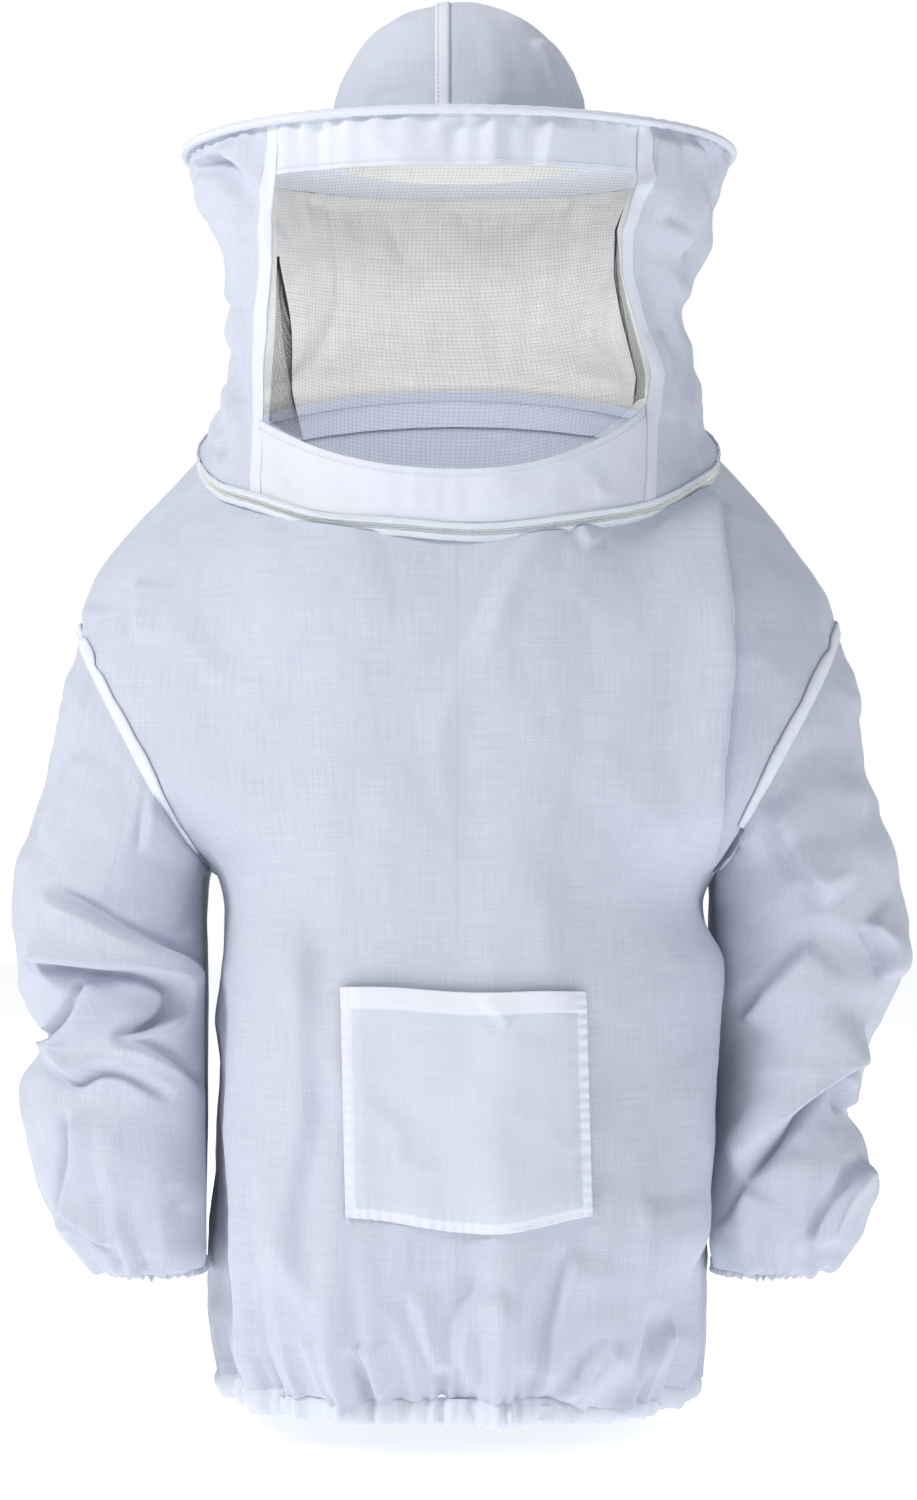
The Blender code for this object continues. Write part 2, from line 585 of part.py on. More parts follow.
def make_crown(hood):
    """Four gores of the crown, the tape over its front seam and the sweatband inside."""
    for front_word, front in (("front", -1), ("rear", 1)):
        for side_word, side in (("left", 1), ("right", -1)):
            regions = [[beyond(x=GAP * side, facing=-side)], [beyond(y=GAP * front, facing=-front)]]
            finish_piece("crown_%s_%s_gore" % (front_word, side_word),
                         cut_away(crown_surface(0.0), regions), COTTON, hood, CLOTH)
    half = CROWN_SEAM_WIDTH / 2
    strip = [[beyond(x=CROWN_SEAM_X + half)], [beyond(x=CROWN_SEAM_X - half, facing=-1)],
             [beyond(y=CROWN_SEAM_BACK)], [beyond(z=CROWN_BASE + CROWN_SEAM_START, facing=-1)]]
    finish_piece("crown_front_seam", cut_away(crown_surface(CROWN_SEAM_LIFT), strip), COTTON, hood,
                 CROWN_SEAM_THICKNESS)
    path = oval_path(Vector((0, 0, CROWN_BASE)), Vector((1, 0, 0)), Vector((0, 1, 0)),
                     CROWN_HALF_WIDTH - SWEATBAND_INSET, CROWN_HALF_DEPTH - SWEATBAND_INSET, 2.0, CROWN_AROUND,
                     Vector((0, 0, 1)))
    band = box_profile(-SWEATBAND_THICKNESS, 0.0, SWEATBAND_LOW, SWEATBAND_HIGH)
    finish_piece("sweatband", sweep(path, band, True), LINING, hood)


def build():
    for old in list(bpy.data.objects):
        bpy.data.objects.remove(old, do_unlink=True)
    back_point, back_out, _ = ring_frame(math.pi)
    hood = hinge_empty("hood_hinge", back_point + back_out * HOOD_HINGE_OUT)
    slider_axis = hinge_empty("zip_slider_axis", Vector((0, 0, 0)))
    slider_point, slider_out, _ = ring_frame(SLIDER_PARKED)
    pull_axis = hinge_empty("zip_pull_hinge", slider_point + slider_out * LUG_PIN)

    make_smock_panels()
    make_armhole_seam("left_armhole_seam", 1)
    make_armhole_seam("right_armhole_seam", -1)
    make_pocket()
    make_hem()
    make_neck()
    for side, word in ((1, "left"), (-1, "right")):
        pivot = Vector(((SHOULDER_POINT.x + SHOULDER_HINGE.x) * side, 0.0, SHOULDER_POINT.z + SHOULDER_HINGE.z))
        make_sleeve(side, word, hinge_empty(word + "_shoulder_hinge", pivot))
    make_slider(slider_axis, pull_axis)
    make_veil(hood)
    make_brim(hood)
    make_crown(hood)


build()
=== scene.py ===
import math

import bmesh
import bpy
import numpy as np
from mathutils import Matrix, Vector, noise
from mathutils.bvhtree import BVHTree


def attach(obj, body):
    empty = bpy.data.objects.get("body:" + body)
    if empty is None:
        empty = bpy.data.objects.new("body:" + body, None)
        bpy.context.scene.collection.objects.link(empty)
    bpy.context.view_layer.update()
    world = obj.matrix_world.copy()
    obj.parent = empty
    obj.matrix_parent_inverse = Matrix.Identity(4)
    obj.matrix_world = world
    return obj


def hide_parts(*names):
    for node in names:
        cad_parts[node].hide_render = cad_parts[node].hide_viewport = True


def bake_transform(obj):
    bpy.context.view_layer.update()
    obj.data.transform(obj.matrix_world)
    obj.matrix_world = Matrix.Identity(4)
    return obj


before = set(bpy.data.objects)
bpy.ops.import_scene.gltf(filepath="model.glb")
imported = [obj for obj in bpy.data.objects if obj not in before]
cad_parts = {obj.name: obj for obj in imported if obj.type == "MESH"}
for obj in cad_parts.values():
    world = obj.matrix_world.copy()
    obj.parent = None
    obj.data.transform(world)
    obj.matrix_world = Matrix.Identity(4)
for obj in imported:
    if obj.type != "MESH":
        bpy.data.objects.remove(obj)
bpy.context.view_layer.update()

# the neck zip's circle, as in the frame
zipRing = {"radius": 0.200, "tilt": math.radians(20), "teethEnd": math.radians(118),
           "tapeEnd": math.radians(120), "wave": 0.0011, "waveEnd": 1.7}
ringUp = np.array([0.0, -math.sin(zipRing["tilt"]), math.cos(zipRing["tilt"])])
seamAngle = math.radians(60.9)          # slope of the armhole planes


# shaping helpers
def smoothStep(values, low, high):
    t = np.clip((np.asarray(values, float) - low) / (high - low), 0, 1)
    return t * t * (3 - 2 * t)


def cubicRows(stations, rows, wanted):
    # smooth values between the rows of a table
    stations, rows = np.asarray(stations, float), np.asarray(rows, float)
    slopes = np.gradient(rows, stations, axis=0)
    wanted = np.clip(np.asarray(wanted, float), stations[0], stations[-1])
    i = np.clip(np.searchsorted(stations, wanted, side="right") - 1, 0, len(stations) - 2)
    gap = (stations[i + 1] - stations[i])[:, None]
    t = ((wanted - stations[i]) / gap[:, 0])[:, None]
    return ((2 * t**3 - 3 * t**2 + 1) * rows[i] + (t**3 - 2 * t**2 + t) * gap * slopes[i]
            + (3 * t**2 - 2 * t**3) * rows[i + 1] + (t**3 - t**2) * gap * slopes[i + 1])


def fullTurn(count):
    return np.linspace(0, 2 * math.pi, count, endpoint=False)


def waveNoise(angle, seed, low, high):
    # closed random wave round a circle, about 1 high
    draw = np.random.default_rng(seed)
    total = np.zeros_like(angle)
    for n in range(low, high + 1):
        total += draw.normal() * np.cos(n * angle + draw.uniform(0, 2 * math.pi))
    return total / math.sqrt((high - low + 1) / 2) * 0.7


def gathers(angle, count, seed):
    # uneven pleats round a circle, about 1 high
    phase = count * angle + 1.8 * waveNoise(angle, seed, 3, 13)
    return np.sin(phase) * (0.7 + 0.35 * waveNoise(angle, seed + 50, 4, 22))


def cloudNoise(points, scale, seed, stretch=(1, 1, 1)):
    flat = points.reshape(-1, 3) * (np.array(stretch) * scale) + seed * 7.31
    return np.array([noise.noise(Vector(p)) for p in flat]).reshape(points.shape[:-1])


def creases(points, scale, seed, stretch=(1, 1, 1)):
    # soft ridges with narrow tops, as crumpled cloth has
    value = cloudNoise(points, scale, seed, stretch)
    value = value + 0.35 * cloudNoise(points, scale * 2.3, seed + 3, stretch)
    return 1 - np.clip(np.sqrt(value ** 2 + 0.0016) * 3.2, 0, 1)


def crumpled(height, points, layers, share=1.0):
    # add layers of crumples, each (noise, scale, seed, stretch, height in metres)
    for kind, scale, seed, stretch, tall in layers:
        height = height + kind(points, scale, seed, stretch) * tall * share
    return height


def gridNormals(grid, wrap):
    # normals of a grid of points, rows first
    down = np.gradient(grid, axis=0)
    if wrap:
        across = (np.roll(grid, -1, axis=1) - np.roll(grid, 1, axis=1)) / 2
    else:
        across = np.gradient(grid, axis=1)
    normal = np.cross(down, across)
    return normal / np.maximum(np.linalg.norm(normal, axis=-1, keepdims=True), 1e-12)


# a fold's cross-section and how it dies out at its ends
foldShape = {"straightPoints": 6, "curvePoints": 28, "endShare": 0.18, "softPower": 1.3,
             "dipPlace": 1.7, "dipWidth": 1.3}


def smoothLine(points):
    if len(points) == 2:
        return points[0] + (points[1] - points[0]) * np.linspace(0, 1, foldShape["straightPoints"])[:, None]
    reach = np.r_[0, np.cumsum(np.linalg.norm(np.diff(points, axis=0), axis=1))]
    return cubicRows(reach, points, np.linspace(0, reach[-1], foldShape["curvePoints"]))


def lineDistance(points, line):
    # signed distance to a line, plus on its left, and the share along it
    best = np.full(len(points), 1e9)
    signed, along = np.zeros(len(points)), np.zeros(len(points))
    count = len(line) - 1
    for k in range(count):
        start, step = line[k], line[k + 1] - line[k]
        rel = points - start
        t = np.clip(rel @ step / max(step @ step, 1e-12), 0, 1)
        away = rel - t[:, None] * step
        d = np.hypot(away[:, 0], away[:, 1])
        side = np.sign(step[0] * rel[:, 1] - step[1] * rel[:, 0])
        near = d < best
        best[near], signed[near], along[near] = d[near], (d * side)[near], ((k + t) / count)[near]
    return signed, along


def foldHeights(points, folds, crisp=1.0):
    # points are (x, z) as seen from the front; a fold is (line, height, soft width, sharp width, valley)
    # in millimetres, and a height below zero puts its sharp side on the line's other side
    total = np.zeros(len(points))
    for line, *sizes in folds:
        height, soft, sharp, valley = np.array(sizes) / 1000
        side = 1 if height >= 0 else -1
        signed, along = lineDistance(points, smoothLine(np.array(line) / 1000))
        signed, sharp, valley = signed * side, sharp * crisp, valley / crisp
        ends = smoothStep(along, 0, foldShape["endShare"]) * smoothStep(1 - along, 0, foldShape["endShare"])
        softRise = np.exp(-(np.abs(signed) / soft) ** foldShape["softPower"])
        rise = np.where(signed > 0, softRise, np.exp(-(signed / sharp) ** 2))
        dip = np.exp(-((signed + foldShape["dipPlace"] * sharp) / (foldShape["dipWidth"] * sharp)) ** 2)
        total += (abs(height) * rise - valley * dip) * ends
    return total


def gridFaces(rows, columns, wrap):
    count = columns if wrap else columns - 1
    r, c = np.meshgrid(np.arange(rows - 1), np.arange(count), indexing="ij")
    here = r * columns + c
    right = r * columns + (c + 1) % columns
    return np.stack([here, right, right + columns, here + columns], -1).reshape(-1, 4)


def weaveOf(across, down, shape):
    # a place on the flat cloth, in metres, for each point of a grid
    return np.stack([np.broadcast_to(across, shape), np.broadcast_to(down, shape)], -1)


def resampleLoop(loop, angle):
    # a closed loop's points at other angles
    turn = np.linspace(0, 2 * math.pi, len(loop) + 1)
    return np.stack([np.interp(angle, turn, np.r_[loop[:, k], loop[:1, k]]) for k in range(3)], -1)


def makeMesh(name, points, faces, weave=None, doubled=None):
    # weave is a place on the cloth in metres; doubled is 1 where two or more layers lie together
    points = np.asarray(points, float).reshape(-1, 3)
    mesh = bpy.data.meshes.new(name)
    mesh.from_pydata(points.tolist(), [], np.asarray(faces).tolist())
    mesh.shade_smooth()
    layer = mesh.uv_layers.new(name="weave")
    weave = points[:, [0, 2]] if weave is None else weave
    corners = np.zeros(len(mesh.loops), int)
    mesh.loops.foreach_get("vertex_index", corners)
    layer.data.foreach_set("uv", np.asarray(weave, np.float32).reshape(-1, 2)[corners].ravel())
    layers = mesh.attributes.new("doubled", "FLOAT", "POINT")
    values = np.zeros(len(points)) if doubled is None else np.asarray(doubled, float).ravel()
    layers.data.foreach_set("value", values.astype(np.float32))
    piece = bpy.data.objects.new(name, mesh)
    bpy.context.scene.collection.objects.link(piece)
    return piece


def sheetFromGrid(name, grid, wrap, weave=None, doubled=None, flip=False):
    rows, columns = grid.shape[:2]
    faces = gridFaces(rows, columns, wrap)
    return makeMesh(name, grid, faces[:, ::-1] if flip else faces, weave, doubled)


def giveThickness(piece, thickness):
    wall = piece.modifiers.new("Cloth thickness", "SOLIDIFY")
    wall.thickness = thickness
    wall.offset = -1.0


def surfaceTree(piece):
    # a tree of the piece's faces, to lay other pieces on
    points = [v.co.copy() for v in piece.data.vertices]
    return BVHTree.FromPolygons(points, [list(p.vertices) for p in piece.data.polygons])


def layOn(tree, points, lift):
    # move points to the nearest cloth and lift them off it
    laid = []
    for point in points:
        place, normal, _, _ = tree.find_nearest(Vector(point))
        laid.append(place + normal * lift)
    return np.array([list(p) for p in laid])


def frontOf(tree, x, z):
    # depth of the cloth's front at x and z
    hit, _, _, _ = tree.ray_cast(Vector((x, -1.0, z)), Vector((0, 1, 0)))
    return hit.y


def finishPiece(piece, material, body, replaced=()):
    piece.name = piece.name.replace(" ", "_")
    piece.data.materials.clear()
    piece.data.materials.append(material)
    if isinstance(body, str):
        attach(piece, body)
    else:
        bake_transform(piece)
    if replaced:
        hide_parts(*replaced)
    return piece


# materials
def newMaterial(name, roughness):
    material = bpy.data.materials.new(name)
    material.use_nodes = True
    shader = material.node_tree.nodes["Principled BSDF"]
    shader.inputs["Roughness"].default_value = roughness
    return material, material.node_tree.nodes, material.node_tree.links, shader


def mixColour(nodes, links, factor, first, second):
    mix = nodes.new("ShaderNodeMix")
    mix.data_type = "RGBA"
    for number, value in ((0, factor), (6, first), (7, second)):
        if isinstance(value, bpy.types.NodeSocket):
            links.new(value, mix.inputs[number])
        else:
            mix.inputs[number].default_value = value
    return mix.outputs[2]


def noiseTexture(nodes, links, place, scale, detail):
    texture = nodes.new("ShaderNodeTexNoise")
    texture.inputs["Scale"].default_value = scale
    texture.inputs["Detail"].default_value = detail
    links.new(place, texture.inputs["Vector"])
    return texture.outputs["Fac"]


def addBump(nodes, links, shader, height, strength, distance):
    bump = nodes.new("ShaderNodeBump")
    bump.inputs["Strength"].default_value = strength
    bump.inputs["Distance"].default_value = distance
    links.new(height, bump.inputs["Height"])
    links.new(bump.outputs["Normal"], shader.inputs["Normal"])


def clothMaterial(name, look):
    # plain-woven cloth: threads both ways, slubs, clouds of colour and brighter doubled layers
    material, nodes, links, shader = newMaterial(name, look["roughness"])
    shader.inputs["Sheen Weight"].default_value = look["sheen"]
    shader.inputs["Sheen Roughness"].default_value = 0.5
    place = nodes.new("ShaderNodeUVMap")
    place.uv_map = "weave"
    threads = nodes.new("ShaderNodeMath")
    threads.operation = "ADD"
    for number, scale in enumerate(((look["threads"], look["slub"], 1), (look["slub"], look["threads"], 1))):
        stretch = nodes.new("ShaderNodeMapping")
        stretch.inputs["Scale"].default_value = scale
        links.new(place.outputs["UV"], stretch.inputs["Vector"])
        links.new(noiseTexture(nodes, links, stretch.outputs["Vector"], 1.0, 2.0), threads.inputs[number])
    where = nodes.new("ShaderNodeTexCoord").outputs["Object"]
    cloud = noiseTexture(nodes, links, where, look["cloudScale"], 3.0)
    tone = mixColour(nodes, links, cloud, (*look["dark"], 1), (*look["light"], 1))
    spread = nodes.new("ShaderNodeMapRange")
    spread.inputs["From Min"].default_value = 0.7
    spread.inputs["From Max"].default_value = 1.3
    links.new(threads.outputs[0], spread.inputs["Value"])
    thready = mixColour(nodes, links, spread.outputs["Result"], (*look["thread"], 1), tone)
    layers = nodes.new("ShaderNodeAttribute")
    layers.attribute_name = "doubled"
    colour = mixColour(nodes, links, layers.outputs["Fac"], thready, (*look["doubled"], 1))
    links.new(colour, shader.inputs["Base Color"])
    addBump(nodes, links, shader, threads.outputs[0], look["bump"], 0.0006)
    return material


def plainMaterial(name, roughness, metallic, grainScale, dark, light):
    # plastic, metal or thread with fine grain in its colour, gloss and surface
    material, nodes, links, shader = newMaterial(name, roughness)
    shader.inputs["Metallic"].default_value = metallic
    where = nodes.new("ShaderNodeTexCoord").outputs["Object"]
    grain = noiseTexture(nodes, links, where, grainScale, 4.0)
    links.new(mixColour(nodes, links, grain, (*dark, 1), (*light, 1)), shader.inputs["Base Color"])
    gloss = nodes.new("ShaderNodeMapRange")
    gloss.inputs["To Min"].default_value = roughness * 0.8
    gloss.inputs["To Max"].default_value = min(1.0, roughness * 1.3)
    links.new(grain, gloss.inputs["Value"])
    links.new(gloss.outputs["Result"], shader.inputs["Roughness"])
    addBump(nodes, links, shader, grain, 0.2, 0.0002)
    return material


cottonLook = {"roughness": 0.85, "sheen": 0.25, "threads": 900, "slub": 26, "cloudScale": 7.0, "bump": 0.35,
              "dark": (0.550, 0.588, 0.685), "light": (0.610, 0.647, 0.735),
              "thread": (0.500, 0.538, 0.635), "doubled": (0.745, 0.775, 0.845)}
# white cloth painted brighter and creamier, standing in for light shining through the thin veil back from
# behind
backlitLook = {"roughness": 0.9, "sheen": 0.2, "threads": 850, "slub": 22, "cloudScale": 9.0, "bump": 0.35,
              "dark": (0.66, 0.655, 0.63), "light": (0.74, 0.735, 0.71),
              "thread": (0.58, 0.575, 0.555), "doubled": (0.78, 0.775, 0.75)}
tapeLook = {"roughness": 0.75, "sheen": 0.1, "threads": 1500, "slub": 60, "cloudScale": 20.0, "bump": 0.3,
            "dark": (0.68, 0.72, 0.77), "light": (0.73, 0.77, 0.82),
            "thread": (0.62, 0.66, 0.72), "doubled": (0.76, 0.79, 0.84)}
cotton = clothMaterial("white cotton", cottonLook)
backlitCloth = clothMaterial("cotton painted backlit", backlitLook)
zipTape = clothMaterial("zip tape", tapeLook)
# name, roughness, metal or not, scale of the grain, darkest and lightest colour
netThread = plainMaterial("net thread", 0.55, 0.0, 300, (0.008, 0.008, 0.010), (0.03, 0.03, 0.034))
coil = plainMaterial("nylon coil", 0.35, 0.0, 200, (0.70, 0.74, 0.66), (0.78, 0.81, 0.74))
darkMetal = plainMaterial("dark metal", 0.32, 1.0, 400, (0.10, 0.09, 0.085), (0.24, 0.22, 0.20))
wire = plainMaterial("spring wire", 0.35, 1.0, 300, (0.42, 0.43, 0.45), (0.60, 0.61, 0.63))
rubberBand = clothMaterial("elastic", dict(tapeLook, threads=1100, slub=400))
sewingThread = plainMaterial("sewing thread", 0.7, 0.0, 900, (0.66, 0.70, 0.78), (0.80, 0.83, 0.89))
print("materials made")


# things that repeat: teeth, stitches and netting
def nodeTree(name, inputs):
    tree = bpy.data.node_groups.new(name, "GeometryNodeTree")
    tree.interface.new_socket("Geometry", in_out="INPUT", socket_type="NodeSocketGeometry")
    for label, kind in inputs:
        tree.interface.new_socket(label, in_out="INPUT", socket_type=kind)
    tree.interface.new_socket("Geometry", in_out="OUTPUT", socket_type="NodeSocketGeometry")
    return tree, tree.nodes.new("NodeGroupInput"), tree.nodes.new("NodeGroupOutput")


def endTree(tree, made, source, out):
    realize = tree.nodes.new("GeometryNodeRealizeInstances")
    paint = tree.nodes.new("GeometryNodeSetMaterial")
    smooth = tree.nodes.new("GeometryNodeSetShadeSmooth")
    tree.links.new(made, realize.inputs[0])
    tree.links.new(realize.outputs[0], smooth.inputs["Geometry"])
    tree.links.new(smooth.outputs[0], paint.inputs["Geometry"])
    tree.links.new(source.outputs["Material"], paint.inputs["Material"])
    tree.links.new(paint.outputs["Geometry"], out.inputs["Geometry"])


def rowTree():
    # a small rounded bar at even steps along every curve, long side along Size's X
    inputs = [("Pitch", "NodeSocketFloat"), ("Size", "NodeSocketVector"), ("Up", "NodeSocketVector"),
              ("Material", "NodeSocketMaterial")]
    tree, source, out = nodeTree("row of bars", inputs)
    spots = tree.nodes.new("GeometryNodeCurveToPoints")
    spots.mode = "LENGTH"
    bar = tree.nodes.new("GeometryNodeMeshUVSphere")
    bar.inputs["Segments"].default_value = 6
    bar.inputs["Rings"].default_value = 4
    bar.inputs["Radius"].default_value = 0.5
    along = tree.nodes.new("FunctionNodeAlignRotationToVector")
    along.axis = "X"
    upright = tree.nodes.new("FunctionNodeAlignRotationToVector")
    upright.axis = "Z"
    upright.pivot_axis = "X"
    place = tree.nodes.new("GeometryNodeInstanceOnPoints")
    link = tree.links.new
    link(source.outputs["Geometry"], spots.inputs["Curve"])
    link(source.outputs["Pitch"], spots.inputs["Length"])
    link(spots.outputs["Tangent"], along.inputs["Vector"])
    link(along.outputs["Rotation"], upright.inputs["Rotation"])
    link(source.outputs["Up"], upright.inputs["Vector"])
    link(spots.outputs["Points"], place.inputs["Points"])
    link(bar.outputs["Mesh"], place.inputs["Instance"])
    link(upright.outputs["Rotation"], place.inputs["Rotation"])
    link(source.outputs["Size"], place.inputs["Scale"])
    endTree(tree, place.outputs["Instances"], source, out)
    return tree


def netTree():
    # every edge of a mesh becomes a thin round thread
    inputs = [("Radius", "NodeSocketFloat"), ("Material", "NodeSocketMaterial")]
    tree, source, out = nodeTree("netting", inputs)
    lines = tree.nodes.new("GeometryNodeMeshToCurve")
    ring = tree.nodes.new("GeometryNodeCurvePrimitiveCircle")
    ring.inputs["Resolution"].default_value = 3
    thread = tree.nodes.new("GeometryNodeCurveToMesh")
    link = tree.links.new
    link(source.outputs["Geometry"], lines.inputs["Mesh"])
    link(source.outputs["Radius"], ring.inputs["Radius"])
    link(lines.outputs["Curve"], thread.inputs["Curve"])
    link(ring.outputs["Curve"], thread.inputs["Profile Curve"])
    endTree(tree, thread.outputs["Mesh"], source, out)
    return tree


trees = {"row": rowTree(), "net": netTree()}


def runTree(name, carrier, tree, values):
    # evaluate the tree on a carrier and keep the result as a plain mesh
    modifier = carrier.modifiers.new("Make", "NODES")
    modifier.node_group = tree
    sockets = {item.name: item.identifier for item in tree.interface.items_tree if item.in_out == "INPUT"}
    for label, value in values.items():
        modifier[sockets[label]] = value
    graph = bpy.context.evaluated_depsgraph_get()
    mesh = bpy.data.meshes.new_from_object(carrier.evaluated_get(graph), depsgraph=graph)
    mesh.name = name
    made = bpy.data.objects.new(name, mesh)
    bpy.context.scene.collection.objects.link(made)
    bpy.data.objects.remove(carrier, do_unlink=True)
    return made


def barsAlong(name, lines, pitch, size, material, up=(0, 0, 1)):
    curve = bpy.data.curves.new(name + " path", "CURVE")
    curve.dimensions = "3D"
    for line in lines:
        spline = curve.splines.new("POLY")
        spline.points.add(len(line) - 1)
        spline.points.foreach_set("co", np.c_[line, np.ones(len(line))].ravel())
    carrier = bpy.data.objects.new(name + " path", curve)
    bpy.context.scene.collection.objects.link(carrier)
    values = {"Pitch": pitch, "Size": size, "Up": up, "Material": material}
    return runTree(name, carrier, trees["row"], values)


stitchLook = {"pitch": 0.0034, "size": (0.0026, 0.0007, 0.0006)}


def stitches(name, lines, body):
    made = barsAlong(name, lines, stitchLook["pitch"], stitchLook["size"], sewingThread)
    return finishPiece(made, sewingThread, body)


# smock panels
# rings from neck to hem: centre y, centre z, tilt, half width, front, back, squareness
smockRings = [
    (0.0019, -0.0052, 20, 0.2000, 0.200, 0.200, 2.0), (0, -0.0300, 18, 0.2250, 0.201, 0.201, 2.0),
    (0, -0.0750, 14, 0.2610, 0.200, 0.200, 2.0), (0, -0.1150, 10, 0.2835, 0.195, 0.195, 2.0),
    (0, -0.1450, 8, 0.2920, 0.191, 0.191, 2.05), (0, -0.1800, 6, 0.2970, 0.188, 0.187, 2.1),
    (0, -0.2300, 4, 0.2880, 0.184, 0.183, 2.2), (0, -0.2800, 2, 0.2350, 0.181, 0.180, 2.4),
    (0, -0.3200, 0, 0.1895, 0.180, 0.179, 2.6), (0, -0.4200, 0, 0.1870, 0.181, 0.180, 2.6),
    (0, -0.5300, 0, 0.1860, 0.182, 0.182, 2.6), (0, -0.6200, 0, 0.1840, 0.182, 0.180, 2.6),
    (0, -0.6700, 0, 0.1820, 0.174, 0.172, 2.5), (0, -0.7035, 0, 0.1755, 0.156, 0.154, 2.4)]
torso = {"around": 500, "along": 340, "hemTop": -0.7035, "armpit": (0.190, -0.320), "girth": 0.19,
         "foldScale": 1.5, "hollow": (-0.185, -0.150), "hollowSize": (0.045, 0.085), "hollowDepth": 0.014}
torsoCrumples = [(cloudNoise, 9, 1, (1, 1, 0.7), 0.0075), (creases, 8, 2, (1, 1, 0.7), 0.0040),
                 (cloudNoise, 22, 2, (1, 1, 0.8), 0.0026), (cloudNoise, 60, 3, (1, 1, 1), 0.0006)]


def tableSurface(rings, angle, along):
    # points of a tube through the rings, one row for each share along it
    rings = np.asarray(rings, float)
    steps = np.hypot(np.diff(rings[:, 1]), np.diff(rings[:, 3]))
    stations = np.r_[0, np.cumsum(steps)]
    rows = cubicRows(stations, rings, along * stations[-1])
    grid = np.zeros((len(rows), len(angle), 3))
    for i, (centerY, centerZ, tilt, width, front, back, power) in enumerate(rows):
        s, c = np.sin(angle), np.cos(angle)
        depth = np.where(c > 0, front, back)
        r = (np.abs(s / width) ** power + np.abs(c / depth) ** power) ** (-1 / power)
        tilt = math.radians(tilt)
        grid[i] = np.c_[r * s, centerY - r * c * math.cos(tilt), centerZ - r * c * math.sin(tilt)]
    return grid


def hemGathers(angle, above):
    # pleats that start at the hem's elastic and die out upwards
    return (gathers(angle, 85, 3) * 0.0026 * np.exp(-above / 0.030)
            + gathers(angle, 30, 4) * 0.0060 * np.exp(-above / 0.07)
            + gathers(angle, 11, 5) * 0.0090 * np.exp(-above / 0.17))


# folds of the smock, in the millimetres that foldHeights takes
torsoFolds = [
    ([(191, -23), (187, -55), (191, -141), (191, -194), (185, -248), (184, -313)], -14, 34, 4, 6),
    ([(180, -337), (178, -395), (176, -438), (171, -555), (167, -634)], -12, 26, 4, 5),
    ([(-237, -100), (-237, -144)], 4, 12, 5, 1),
    ([(-278, -115), (-281, -171)], 4, 12, 5, 1),
    ([(82, -59), (98, -80)], 3, 10, 4, 1),
    ([(-113, -339), (-114, -407), (-113, -487), (-127, -580), (-113, -645)], -5, 28, 9, 2),
    ([(34, -612), (8, -645), (15, -710)], 6, 20, 8, 3),
    ([(90, -586), (72, -654), (64, -710)], 7, 20, 8, 3),
    ([(117, -657), (70, -704)], 5, 14, 6, 2),
    ([(161, -648), (111, -710)], 6, 16, 6, 2),
    ([(-34, -615), (-10, -689)], 5, 16, 6, 2),
    ([(-72, -657), (-57, -700)], 4, 12, 5, 2),
    ([(-113, -653), (-96, -700)], 4, 12, 5, 2),
    ([(134, -552), (137, -646)], 4, 22, 10, 1)]
backFolds = [
    ([(-120, -300), (-100, -460), (-130, -640)], 9, 40, 16, 3),
    ([(90, -360), (120, -520), (100, -690)], -9, 36, 14, 3),
    ([(10, -520), (-20, -700)], 7, 28, 10, 3),
    ([(-200, -110), (-120, -230), (-40, -290)], 6, 30, 12, 2),
    ([(210, -110), (140, -220), (60, -300)], -6, 30, 12, 2)]


def makeTorso():
    angle = fullTurn(torso["around"])
    grid = tableSurface(smockRings, angle, np.linspace(0, 1, torso["along"]))
    normal = gridNormals(grid, True)
    if (normal[..., 1] * grid[..., 1]).sum() < 0:
        normal = -normal
    flat = grid[..., [0, 2]].reshape(-1, 2)
    shape = grid.shape[:2]
    frontness = smoothStep(-normal[..., 1], -0.25, 0.25)
    height = foldHeights(flat, torsoFolds).reshape(shape) * frontness * torso["foldScale"]
    height += foldHeights(flat, backFolds).reshape(shape) * (1 - frontness)
    height += hemGathers(angle[None, :], np.maximum(grid[..., 2] - torso["hemTop"], 0))
    (hollowX, hollowZ), (wide, tall) = torso["hollow"], torso["hollowSize"]
    hollow = np.exp(-((grid[..., 0] - hollowX) / wide) ** 2 - ((grid[..., 2] - hollowZ) / tall) ** 2)
    height -= torso["hollowDepth"] * hollow * frontness
    fromNeck = smoothStep(-grid[..., 2] - 0.1 * grid[..., 1] / 0.2, -0.02, 0.10)
    height = crumpled(height, grid, torsoCrumples, fromNeck)
    grid = grid + normal * height[..., None]
    return sheetFromGrid("torso", grid, True, weaveOf(angle * torso["girth"], grid[..., 2], shape))


def cutByPlanes(piece, regions):
    # remove where a face lies beyond all the planes of a region
    mesh = bmesh.new()
    mesh.from_mesh(piece.data)
    for region in regions:
        for point, direction in region:
            bmesh.ops.bisect_plane(mesh, geom=mesh.verts[:] + mesh.edges[:] + mesh.faces[:], dist=1e-7,
                                   plane_co=point, plane_no=direction)
        gone = [face for face in mesh.faces
                if all((face.calc_center_median() - point).dot(direction) > 0 for point, direction in region)]
        bmesh.ops.delete(mesh, geom=gone, context="FACES")
    mesh.to_mesh(piece.data)
    mesh.free()


def copyPiece(piece, name):
    twin = piece.copy()
    twin.data = piece.data.copy()
    twin.name = name
    bpy.context.scene.collection.objects.link(twin)
    return twin


armholeNormal = np.array([math.sin(seamAngle), 0, -math.cos(seamAngle)])


def armholeRegion(side):
    point = Vector((torso["armpit"][0] * side, 0, torso["armpit"][1]))
    return [(point, Vector((armholeNormal[0] * side, 0, armholeNormal[2]))),
            (Vector((0, 0, torso["armpit"][1])), Vector((0, 0, 1)))]


# the armhole's middle, its half width and height, and how far past that a ray's hit may be
armhole = {"middle": (0.240, 0, -0.230), "half": (0.103, 0.116), "slack": 1.12, "count": 160}


